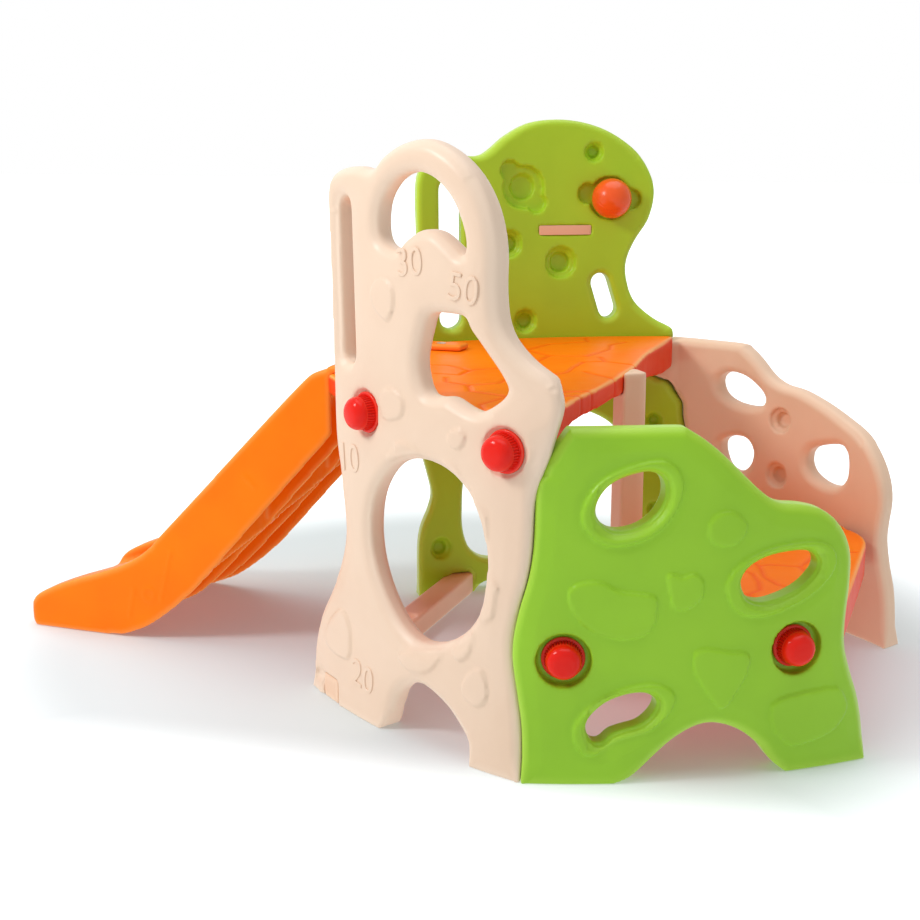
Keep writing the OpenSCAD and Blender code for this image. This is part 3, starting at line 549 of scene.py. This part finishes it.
hill_angle = 300
hill_seats = [(-0.243, 0.213, 0.05), (0.149, 0.216, 0.05)]
hill = moulded_wall("hill_wall", hill_angle, voxel=0.0032, round_off=0.015, seats=hill_seats,
                    slope=0.0035, slope_wide=0.036)
lean_seam(hill, close=0)
finish_piece(hill, leaf_plastic, "leaf_green", "hill_wall")


# Tree wall: the tall green wall at the back, a hollow moulding held to the deck by two
# hand knobs. It has a crawl hole and grips, and on its inside round dimples and two
# ball sockets.

tree_plastic = moulded_plastic("tree_plastic", colour=screen_colour(172, 210, 42),
                               shade=screen_colour(162, 200, 38), highlight_colour=screen_colour(204, 228, 90),
                               painted_shade_colour=screen_colour(112, 146, 28), rough=0.36, gloss=0.28)

tree_angle = 120
tree_knob_seats = [(0.058, 0.571, 0.046), (-0.138, 0.571, 0.046)]
tree_sockets = [(-0.12, 0.9, 0.085), (0.077, 0.924, 0.075)]
tree_plug_seat = [(-0.019, 0.83, 0.064)]
tree_dimples = [(-0.082, 1.0, 0.026), (-0.01, 0.757, 0.04), (0.07, 0.627, 0.03), (0.11, 0.8, 0.035),
                (0.269, 0.111, 0.03), (-0.232, 0.392, 0.025), (-0.24, 0.18, 0.025)]
tree = moulded_wall("tree_wall", tree_angle, voxel=0.0041, round_off=0.013,
                    seats=tree_knob_seats + tree_sockets + tree_plug_seat + tree_dimples,
                    slope=0.002, slope_wide=0.03, notch=tie_along)
finish_piece(tree, tree_plastic, "tree_green", "tree_wall")


# Rock wall: the low sand-coloured wall at the back right, a hollow moulding held to the
# step by two hand knobs. It has three holes and two dimples, and its top reaches round
# the far corner into the edge of the tree wall.

rock_angle = 60
rock_knob_seats = [(0.243, 0.213, 0.05), (-0.149, 0.216, 0.05)]
rock_dimples = [(0.013, 0.428, 0.032), (0.017, 0.305, 0.032)]
rock = moulded_wall("rock_wall", rock_angle, voxel=0.0036, round_off=0.019,
                    seats=rock_knob_seats + rock_dimples, slope=0.002, slope_wide=0.034)
finish_piece(rock, sand_plastic, "sand", "rock_wall")


# Deck: the orange floor between the tall walls, a hollow moulding with a wavy front
# edge and fine cracks moulded into its top, like a slab of rock.

orange_plastic = moulded_plastic("orange_plastic", colour=screen_colour(255, 126, 4),
                                 shade=screen_colour(253, 114, 2), highlight_colour=screen_colour(255, 178, 96),
                                 painted_shade_colour=screen_colour(238, 50, 14), rough=0.4, gloss=0.12)

crack_wide = 0.004
crack_deep = 0.0028
crack_shade = 0.5
floor_highlight = 0.007
floor_highlight_tint = 1.8
front_upright = 0.45
front_fade = 0.3
front_shade = 0.9


def path_distance(flat, paths):
    """Distance of points in a plane to the nearest of some bent lines, which are in millimetres."""
    nearest = np.full(len(flat), 1.0)
    for path in paths:
        for start, end in zip(path[:-1], path[1:]):
            start, end = np.array(start) / 1000, np.array(end) / 1000
            run = end - start
            share = np.clip((flat - start) @ run / (run @ run), 0, 1)
            nearest = np.minimum(nearest, np.linalg.norm(flat - start - share[:, None] * run, axis=1))
    return nearest


def cracked_floor(node, voxel, cracks):
    """A floor with soft edges and with cracks pressed into its top. Its cracks, its upright front
    and its underside get painted shade in a deeper red, and its top edges a painted highlight."""
    slab = copy_of(node)
    remould(slab, voxel)
    away = edge_distance(slab, reach=0.04)
    even_out(slab, rounds=2)
    soften(slab, away, near=0.004, far=0.014, rounds=9)
    places, normals = points_of(slab)
    underside = normals[:, 2] <= -0.5
    crack = bell(path_distance(places[:, :2], cracks), crack_wide) * ~underside
    move_points(slab, places - normals * (crack * crack_deep)[:, None])
    front = np.clip((front_upright - normals[:, 2]) / front_fade, 0, 1)
    looks_up = normals[:, 2] > 0.2
    # Painted highlight on the edges of the top.
    mark(slab, "edge_highlight", fade(away, floor_highlight) * looks_up * floor_highlight_tint)
    # Painted shade in the cracks and on the front and underside.
    mark(slab, "painted_shade", np.maximum(crack * crack_shade, front * front_shade))
    return slab


deck_cracks = [[(-190, 165), (-140, 175), (-115, 185), (-105, 240), (-95, 300), (-110, 365), (-90, 420)],
               [(-180, -95), (-120, -70), (-100, -50), (-95, -25), (-100, 30), (-100, 105), (-60, 125),
                (-35, 115), (15, 95)],
               [(-85, 180), (-60, 125)],
               [(-65, -15), (-40, -40), (16, -85)],
               [(-330, -135), (-300, -135), (-280, -135), (-280, -75), (-270, -60), (-190, 10),
                (-190, 165)],
               [(-295, -170), (-275, -220), (-225, -240), (-210, -230), (-180, -200), (-180, -95)],
               [(-225, -240), (-200, -300), (-120, -330), (-60, -300), (5, -280)],
               [(-60, -300), (-40, -250), (12, -225)],
               [(-280, -75), (-340, -30), (-400, -40), (-430, 20)],
               [(-190, 165), (-260, 230), (-330, 240), (-360, 300)],
               [(-260, 230), (-240, 330), (-170, 400), (-190, 450)],
               [(-120, -330), (-140, -420), (-110, -480)]]
deck = cracked_floor("upper_deck", voxel=0.004, cracks=deck_cracks)
finish_piece(deck, orange_plastic, "orange", "upper_deck")


# Step: the lower orange floor between the low walls. It is moulded like the deck,
# and held by the knobs of the low walls.

step_cracks = [[(240, 60), (285, -10), (305, -80), (340, -125), (380, -135), (440, -120)],
               [(285, -10), (305, 5), (360, 10), (385, -50), (440, -60)],
               [(230, -40), (280, -65), (300, -115), (310, -165), (295, -195), (240, -230)],
               [(360, 10), (380, 110), (450, 150)],
               [(240, 60), (200, 160), (230, 250), (310, 290), (420, 325)],
               [(310, 290), (320, 380), (290, 440)],
               [(240, 60), (150, 20), (90, 70)],
               [(240, -230), (170, -260), (120, -350)],
               [(295, -195), (340, -290), (330, -380)],
               [(200, 160), (120, 220), (90, 330)]]
step = cracked_floor("lower_step", voxel=0.0042, cracks=step_cracks)
finish_piece(step, orange_plastic, "orange", "lower_step")


# Slide: one orange moulding with two rails, a hollow underside with ribs, and two
# tongues that lie on the deck and are screwed down to it.

slide_lines = [[(-888, 199), (-917, 88)], [(-980, 108), (-995, 48)], [(-712, 372), (-690, 352)]]
slide_line_wide = 0.0035
slide_line_rise = 0.002
round_mark_place = np.array([-0.945, 0.1])
round_mark_radius = 0.013
slide_highlight = 0.012
slide_highlight_tint = 0.8
rib_highlight = 0.006
rib_highlight_tint = 1.8
inside_rails = 0.195
under_start = 0.2
under_fade = 0.3
under_inset = 0.008
under_shade = 0.4

slide = copy_of("slide")
remould(slide, voxel=0.0047)
away = edge_distance(slide, reach=0.04)
even_out(slide, rounds=3)
soften(slide, away, near=0.003, far=0.014, rounds=7)
places, normals = points_of(slide)
side_view = places[:, [0, 2]]
line = bell(path_distance(side_view, slide_lines), slide_line_wide)
from_mark = np.linalg.norm(side_view - round_mark_place, axis=1)
round_mark = bell(from_mark - round_mark_radius, slide_line_wide)
on_side = np.abs(normals[:, 1]) > 0.8
relief = np.maximum(line, round_mark) * on_side
move_points(slide, places + normals * (relief * slide_line_rise)[:, None])
looks_down = normals[:, 2] < 0.1
# Painted highlight: the edges are lightened, and the rib edges under the slide more strongly.
rib_edge = fade(away, rib_highlight) * looks_down * (np.abs(places[:, 1]) < inside_rails)
mark(slide, "edge_highlight", np.maximum(fade(away, slide_highlight) * slide_highlight_tint, rib_edge * rib_highlight_tint))
# Painted shade: the underside, away from its edges, is darkened to a deeper red.
under = np.clip((-under_start - normals[:, 2]) / under_fade, 0, 1)
mark(slide, "painted_shade", under * (away > under_inset) * under_shade)
finish_piece(slide, orange_plastic, "orange", "slide")


# Slot plug: a strip of tan plastic, moulded with rounded edges and pressed into a slot
# on the inside of the tree wall.

plug_plastic = moulded_plastic("plug_plastic", colour=screen_colour(238, 186, 154),
                               shade=screen_colour(230, 176, 144), highlight_colour=screen_colour(246, 206, 180),
                               painted_shade_colour=screen_colour(182, 136, 110), rough=0.4, gloss=0.3)
plug = copy_of("slot_plug")
apply_modifier(plug, "BEVEL", width=0.0035, segments=4)
finish_piece(plug, plug_plastic, "plug_tan", "slot_plug")


# Play ball: a thin blown ball of red-orange plastic that rests on the rim of its
# socket. A fine mould line runs round it, and it can be taken out.

ball_plastic = moulded_plastic("ball_plastic", colour=screen_colour(244, 92, 28),
                               shade=screen_colour(232, 76, 20), highlight_colour=screen_colour(252, 140, 84),
                               painted_shade_colour=screen_colour(186, 56, 14), rough=0.22, gloss=0.36)

ball_low, ball_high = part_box("play_ball")
ball_place = (np.array(ball_low) + np.array(ball_high)) / 2
ball_radius = (ball_high[2] - ball_low[2]) / 2
mould_line_wide = 0.0009
mould_line_share = 0.982
ball_turn = (math.radians(24), math.radians(38), 0)


def choose(piece, test):
    """Selects the vertices whose place passes the test, and goes to edit mode."""
    bpy.ops.object.mode_set(mode="EDIT")
    bpy.ops.mesh.select_mode(type="VERT")
    bpy.ops.mesh.select_all(action="DESELECT")
    bpy.ops.object.mode_set(mode="OBJECT")
    for vertex in piece.data.vertices:
        vertex.select = bool(test(vertex.co))
    bpy.ops.object.mode_set(mode="EDIT")


bpy.ops.object.select_all(action="DESELECT")
bpy.ops.mesh.primitive_uv_sphere_add(segments=72, ring_count=48, radius=ball_radius)
ball = bpy.context.object
ball.name = "play_ball_shell"
bpy.ops.object.mode_set(mode="EDIT")
bpy.ops.mesh.select_all(action="DESELECT")
bpy.ops.object.mode_set(mode="OBJECT")
for edge in ball.data.edges:
    edge.select = all(abs(ball.data.vertices[v].co.z) < 0.0001 for v in edge.vertices)
bpy.ops.object.mode_set(mode="EDIT")
bpy.ops.mesh.select_mode(type="EDGE")
bpy.ops.mesh.bevel(offset=mould_line_wide, segments=2, affect="EDGES")
choose(ball, lambda co: abs(co.z) < 0.0002)
bpy.ops.transform.resize(value=(mould_line_share, mould_line_share, 1), center_override=(0, 0, 0))
bpy.ops.object.mode_set(mode="OBJECT")
ball.rotation_euler = ball_turn
ball.location = ball_place
bpy.ops.object.transform_apply(location=True, rotation=True, scale=True)
bpy.ops.object.shade_smooth()
ball.data.materials.append(ball_plastic)
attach(ball, "ball")
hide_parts("play_ball")


# Hand knobs: eight knobs of glossy red plastic that are turned by hand, each with a
# thin flange, a ribbed skirt, a smooth crown and a plain shank that reaches through the
# wall into its nut.

knob_plastic = moulded_plastic("knob_plastic", colour=screen_colour(236, 30, 12),
                               shade=screen_colour(226, 20, 10), highlight_colour=screen_colour(250, 96, 70),
                               painted_shade_colour=screen_colour(176, 14, 12), rough=0.15, gloss=0.22)

ribs = 40
points_per_rib = 4
rib_low = 0.0063
rib_high = 0.0198
rib_radius = 0.0318
valley_share = 0.955
crown_bend = 0.0174
crown_dome = [(0.7, 0.0004), (0.35, 0.0007), (0.05, 0.0008)]
flange_radius = 0.0352
flange_start = 0.0008
shank_profile = [(0.008, 0), (0.008, -0.0665), (0.00656, -0.0679)]
shank_middle = -0.03
short_shank = 0.011
deep_recess = 0.01
rest_gap = 0.0003
flange_corner = 0.0045
flange_corner_wide = 0.002
flange_inside = 0.034
skirt_edge_end = 0.022
skirt_highlight_tint = 0.4
valley_shade = 0.25

skirt_profile = [(0.036, 0.0018), (0.036, 0.0036), (0.0354, 0.0049), (0.0344, 0.0057), (0.0332, 0.006),
                 (0.0319, 0.0061), (0.0317, 0.0066), (0.0294, 0.0194), (0.0291, 0.0202),
                 (0.029, 0.0226)]
skirt_radius, skirt_top = skirt_profile[-1]
crown_profile = [(skirt_radius - crown_bend * (1 - math.cos(math.radians(turn))),
                  skirt_top + crown_bend * math.sin(math.radians(turn))) for turn in range(10, 91, 10)]
dome_radius, dome_start = crown_profile[-1]
crown_profile += [(dome_radius * share, dome_start + rise) for share, rise in crown_dome]


def follow_profile(start, profile):
    """Extrudes the chosen cap from ring to ring, each given by its radius and height."""
    radius, height = start
    for next_radius, next_height in profile:
        lift = {"value": (0, 0, next_height - height)}
        bpy.ops.mesh.extrude_region_move(TRANSFORM_OT_translate=lift)
        share = next_radius / radius
        bpy.ops.transform.resize(value=(share, share, 1), center_override=(0, 0, 0))
        radius, height = next_radius, next_height


def in_valley(co):
    """Whether a vertex lies in a valley between two ribs, by its place round the knob."""
    step_round = round(math.atan2(co.y, co.x) / (2 * math.pi) * ribs * points_per_rib)
    return step_round % points_per_rib >= points_per_rib // 2


def on_skirt(co):
    """Whether a vertex lies on the ribbed part of the knob."""
    return rib_low < co.z < rib_high


bpy.ops.object.select_all(action="DESELECT")
bpy.ops.mesh.primitive_cylinder_add(vertices=ribs * points_per_rib, radius=flange_radius,
                                    depth=flange_start, location=(0, 0, flange_start / 2))
knob_model = bpy.context.object
bpy.ops.object.transform_apply(location=True, rotation=True, scale=True)
choose(knob_model, lambda co: co.z > flange_start / 2)
follow_profile((flange_radius, flange_start), skirt_profile + crown_profile)
choose(knob_model, lambda co: on_skirt(co) and math.hypot(co.x, co.y) < rib_radius and in_valley(co))
bpy.ops.transform.resize(value=(valley_share, valley_share, 1), center_override=(0, 0, 0))
choose(knob_model, lambda co: co.z < flange_start / 8)
follow_profile((flange_radius, 0), shank_profile)
bpy.ops.object.mode_set(mode="OBJECT")

valleys = np.array([on_skirt(v.co) and in_valley(v.co) for v in knob_model.data.vertices])
knob_places, _ = points_of(knob_model)
knob_rise = knob_places[:, 2]
knob_wide = np.linalg.norm(knob_places[:, :2], axis=1)
# Painted highlight on the corner of the flange and the top edge of the skirt.
flange_edge = bell(knob_rise - flange_corner, flange_corner_wide) * (knob_wide > flange_inside)
skirt_edge = (knob_rise > rib_high) * (knob_rise < skirt_edge_end)
mark(knob_model, "edge_highlight", np.maximum(flange_edge, skirt_edge * skirt_highlight_tint))
# Painted shade in the valleys between the ribs.
mark(knob_model, "painted_shade", valleys * valley_shade)

tall_recess = 0.009
low_recess = 0.02
knob_seats = [("arch_knob_left", arch_angle, -0.0582, 0.571, tall_recess),
              ("arch_knob_right", arch_angle, 0.27, 0.55095, tall_recess),
              ("hill_knob_left", hill_angle, -0.2418, 0.21284, low_recess),
              ("hill_knob_right", hill_angle, 0.1488, 0.21572, low_recess),
              ("tree_knob_left", tree_angle, -0.138, 0.571, tall_recess),
              ("tree_knob_right", tree_angle, 0.0582, 0.571, tall_recess),
              ("rock_knob_left", rock_angle, -0.1488, 0.21572, low_recess),
              ("rock_knob_right", rock_angle, 0.2418, 0.21284, low_recess)]
for name, angle, along, height, recess in knob_seats:
    bpy.ops.object.select_all(action="DESELECT")
    knob = bpy.data.objects.new(name + "_turned", knob_model.data.copy())
    bpy.context.collection.objects.link(knob)
    bpy.context.view_layer.objects.active = knob
    knob.select_set(True)
    if recess > deep_recess:
        choose(knob, lambda co: co.z < shank_middle)
        bpy.ops.transform.translate(value=(0, 0, short_shank))
        bpy.ops.object.mode_set(mode="OBJECT")
    knob.matrix_world = stand_on_wall(angle, along, height, rest_gap - recess)
    bpy.ops.object.transform_apply(location=True, rotation=True, scale=True)
    bpy.ops.object.shade_smooth_by_angle(angle=math.radians(38))
    knob.data.materials.append(knob_plastic)
    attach(knob, name)
    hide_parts(name)
bpy.data.objects.remove(knob_model)


# Nuts and screws: zinc-plated steel, turned and plated. The nuts sit in pockets in
# the edges of the floors, and the screws hold the slide and the post to the deck.

zinc = bpy.data.materials.new("zinc_plate")
zinc.use_nodes = True
zinc_nodes, zinc_links = zinc.node_tree.nodes, zinc.node_tree.links
zinc_shader = zinc_nodes["Principled BSDF"]
zinc_shader.inputs["Metallic"].default_value = 1
zinc_place = zinc_nodes.new("ShaderNodeTexCoord")
spangle = zinc_nodes.new("ShaderNodeTexVoronoi")
spangle.inputs["Scale"].default_value = 260
scratch = zinc_nodes.new("ShaderNodeTexNoise")
scratch.inputs["Scale"].default_value = 900
zinc_links.new(zinc_place.outputs["Object"], spangle.inputs["Vector"])
zinc_links.new(zinc_place.outputs["Object"], scratch.inputs["Vector"])
zinc_tint = zinc_nodes.new("ShaderNodeMix")
zinc_tint.data_type = "RGBA"
zinc_tint.inputs["A"].default_value = screen_colour(178, 182, 186)
zinc_tint.inputs["B"].default_value = screen_colour(204, 206, 206)
zinc_links.new(spangle.outputs["Distance"], zinc_tint.inputs["Factor"])
zinc_links.new(zinc_tint.outputs["Result"], zinc_shader.inputs["Base Color"])
zinc_rough = zinc_nodes.new("ShaderNodeMapRange")
zinc_rough.inputs["To Min"].default_value = 0.3
zinc_rough.inputs["To Max"].default_value = 0.5
zinc_links.new(scratch.outputs["Fac"], zinc_rough.inputs["Value"])
zinc_links.new(zinc_rough.outputs["Result"], zinc_shader.inputs["Roughness"])
zinc_bump = zinc_nodes.new("ShaderNodeBump")
zinc_bump.inputs["Strength"].default_value = 0.08
zinc_bump.inputs["Distance"].default_value = 0.0002
zinc_links.new(scratch.outputs["Fac"], zinc_bump.inputs["Height"])
zinc_links.new(zinc_bump.outputs["Normal"], zinc_shader.inputs["Normal"])
for node in ("deck_nuts", "step_nuts", "slide_screws", "post_screw"):
    for material_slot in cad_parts[node].material_slots:
        material_slot.material = zinc


# Studio floor: a plain white floor that keeps the shadow of the gym. For the camera
# it glows towards the front and far away, but only faintly near and behind the gym,
# which paints a darker shadow there. For other rays it glows evenly, so that the floor
# lights the gym from below.

floor_size = 60
floor_drop = 0.0005
# The faint glow near the gym is a painted shadow on the floor; the even glow seen by other rays lights
# the gym from below.
shadow_glow = 0.14
white_glow = 0.85
under_light_glow = 0.46
shadow_middle = (-0.3, 0.1, 0)
shadow_reach = (0.85, 1.3)
front_way = (0.1, -0.995, 0)
front_reach = (0.48, 0.78)

bpy.ops.object.select_all(action="DESELECT")
bpy.ops.mesh.primitive_plane_add(size=floor_size, location=(0, 0, -floor_drop))
floor = bpy.context.object
floor.name = "studio_floor"
floor_paint = bpy.data.materials.new("studio_white")
floor_paint.use_nodes = True
floor_nodes, floor_links = floor_paint.node_tree.nodes, floor_paint.node_tree.links
floor_shader = floor_nodes["Principled BSDF"]
floor_shader.inputs["Base Color"].default_value = (0.57, 0.62, 0.635, 1)
floor_shader.inputs["Roughness"].default_value = 0.9
floor_shader.inputs["Specular IOR Level"].default_value = 0
floor_shader.inputs["Emission Color"].default_value = (1, 1, 1, 1)
floor_place = floor_nodes.new("ShaderNodeTexCoord")
from_middle = floor_nodes.new("ShaderNodeVectorMath")
from_middle.operation = "DISTANCE"
from_middle.inputs[1].default_value = shadow_middle
to_front = floor_nodes.new("ShaderNodeVectorMath")
to_front.operation = "DOT_PRODUCT"
to_front.inputs[1].default_value = front_way
floor_bright = floor_nodes.new("ShaderNodeMath")
floor_bright.operation = "MAXIMUM"
for k, (measure, reach) in enumerate([(from_middle, shadow_reach), (to_front, front_reach)]):
    brighter = floor_nodes.new("ShaderNodeMapRange")
    brighter.interpolation_type = "SMOOTHSTEP"
    brighter.inputs["From Min"].default_value = reach[0]
    brighter.inputs["From Max"].default_value = reach[1]
    floor_links.new(floor_place.outputs["Object"], measure.inputs[0])
    floor_links.new(measure.outputs["Value"], brighter.inputs["Value"])
    floor_links.new(brighter.outputs["Result"], floor_bright.inputs[k])
floor_glow = floor_nodes.new("ShaderNodeMapRange")
floor_glow.inputs["To Min"].default_value = shadow_glow
floor_glow.inputs["To Max"].default_value = white_glow
floor_links.new(floor_bright.outputs["Value"], floor_glow.inputs["Value"])
floor_path = floor_nodes.new("ShaderNodeLightPath")
floor_seen = floor_nodes.new("ShaderNodeMix")
floor_seen.inputs["A"].default_value = under_light_glow
floor_links.new(floor_path.outputs["Is Camera Ray"], floor_seen.inputs["Factor"])
floor_links.new(floor_glow.outputs["Result"], floor_seen.inputs["B"])
floor_links.new(floor_seen.outputs["Result"], floor_shader.inputs["Emission Strength"])
floor.data.materials.append(floor_paint)


# Studio light: a soft key light from the left, a wide one from above, and a sky that
# is brighter on the left. The sky is plain white where it is seen or mirrored.

key_place = Vector((-2.1, -1.9, 2.5))
key_aim = Vector((0, 0, 0.45))
key_power = 42.5
key_wide = 0.7
top_power = 1.5
top_wide = math.radians(60)
top_turn = (math.radians(-6), math.radians(3), 0)
sky_way = (-0.85, -0.5, 0.15)
sky_dim = 0.16
sky_bright = 0.62

world = bpy.data.worlds.new("studio_sky")
bpy.context.scene.world = world
world.use_nodes = True
sky_nodes, sky_links = world.node_tree.nodes, world.node_tree.links
sky = sky_nodes["Background"]
sky.inputs["Color"].default_value = (1, 1, 1, 1)
sky_place = sky_nodes.new("ShaderNodeTexCoord")
sky_side = sky_nodes.new("ShaderNodeVectorMath")
sky_side.operation = "DOT_PRODUCT"
sky_side.inputs[1].default_value = sky_way
sky_links.new(sky_place.outputs["Generated"], sky_side.inputs[0])
sky_level = sky_nodes.new("ShaderNodeMapRange")
sky_level.inputs["From Min"].default_value = -1
sky_level.inputs["From Max"].default_value = 1
sky_level.inputs["To Min"].default_value = sky_dim
sky_level.inputs["To Max"].default_value = sky_bright
sky_links.new(sky_side.outputs["Value"], sky_level.inputs["Value"])
sky_links.new(sky_level.outputs["Result"], sky.inputs["Strength"])
seen = sky_nodes.new("ShaderNodeBackground")
seen.inputs["Color"].default_value = (1, 1, 1, 1)
seen.inputs["Strength"].default_value = 1
path = sky_nodes.new("ShaderNodeLightPath")
either = sky_nodes.new("ShaderNodeMath")
either.operation = "MAXIMUM"
sky_links.new(path.outputs["Is Camera Ray"], either.inputs[0])
sky_links.new(path.outputs["Is Transmission Ray"], either.inputs[1])
any_of_three = sky_nodes.new("ShaderNodeMath")
any_of_three.operation = "MAXIMUM"
sky_links.new(either.outputs["Value"], any_of_three.inputs[0])
sky_links.new(path.outputs["Is Glossy Ray"], any_of_three.inputs[1])
sky_mix = sky_nodes.new("ShaderNodeMixShader")
sky_links.new(any_of_three.outputs["Value"], sky_mix.inputs["Fac"])
sky_links.new(sky.outputs["Background"], sky_mix.inputs[1])
sky_links.new(seen.outputs["Background"], sky_mix.inputs[2])
sky_links.new(sky_mix.outputs["Shader"], sky_nodes["World Output"].inputs["Surface"])

key = bpy.data.lights.new("key_light", "AREA")
key.energy = key_power
key.size = key_wide
key_stand = bpy.data.objects.new("key_light", key)
bpy.context.collection.objects.link(key_stand)
key_stand.location = key_place
key_stand.rotation_euler = (key_aim - key_place).to_track_quat("-Z", "Y").to_euler()

top = bpy.data.lights.new("top_light", "SUN")
top.energy = top_power
top.angle = top_wide
top_stand = bpy.data.objects.new("top_light", top)
bpy.context.collection.objects.link(top_stand)
top_stand.rotation_euler = top_turn


# Camera: it stands about as high as the tall walls, in front of the gym and a little
# to the right, and looks slightly down at it, as in the photograph.

eye_place = (0.676, -2.773, 1.0405)
eye_down = 12.41
eye_turn = 19.9

camera = bpy.data.cameras.new("camera")
camera.lens = 58.05
camera.sensor_width = 36
eye = bpy.data.objects.new("camera", camera)
bpy.context.collection.objects.link(eye)
eye.location = eye_place
eye.rotation_euler = (math.radians(90 - eye_down), 0, math.radians(eye_turn))
bpy.context.scene.camera = eye
bpy.context.scene.view_settings.view_transform = "Standard"
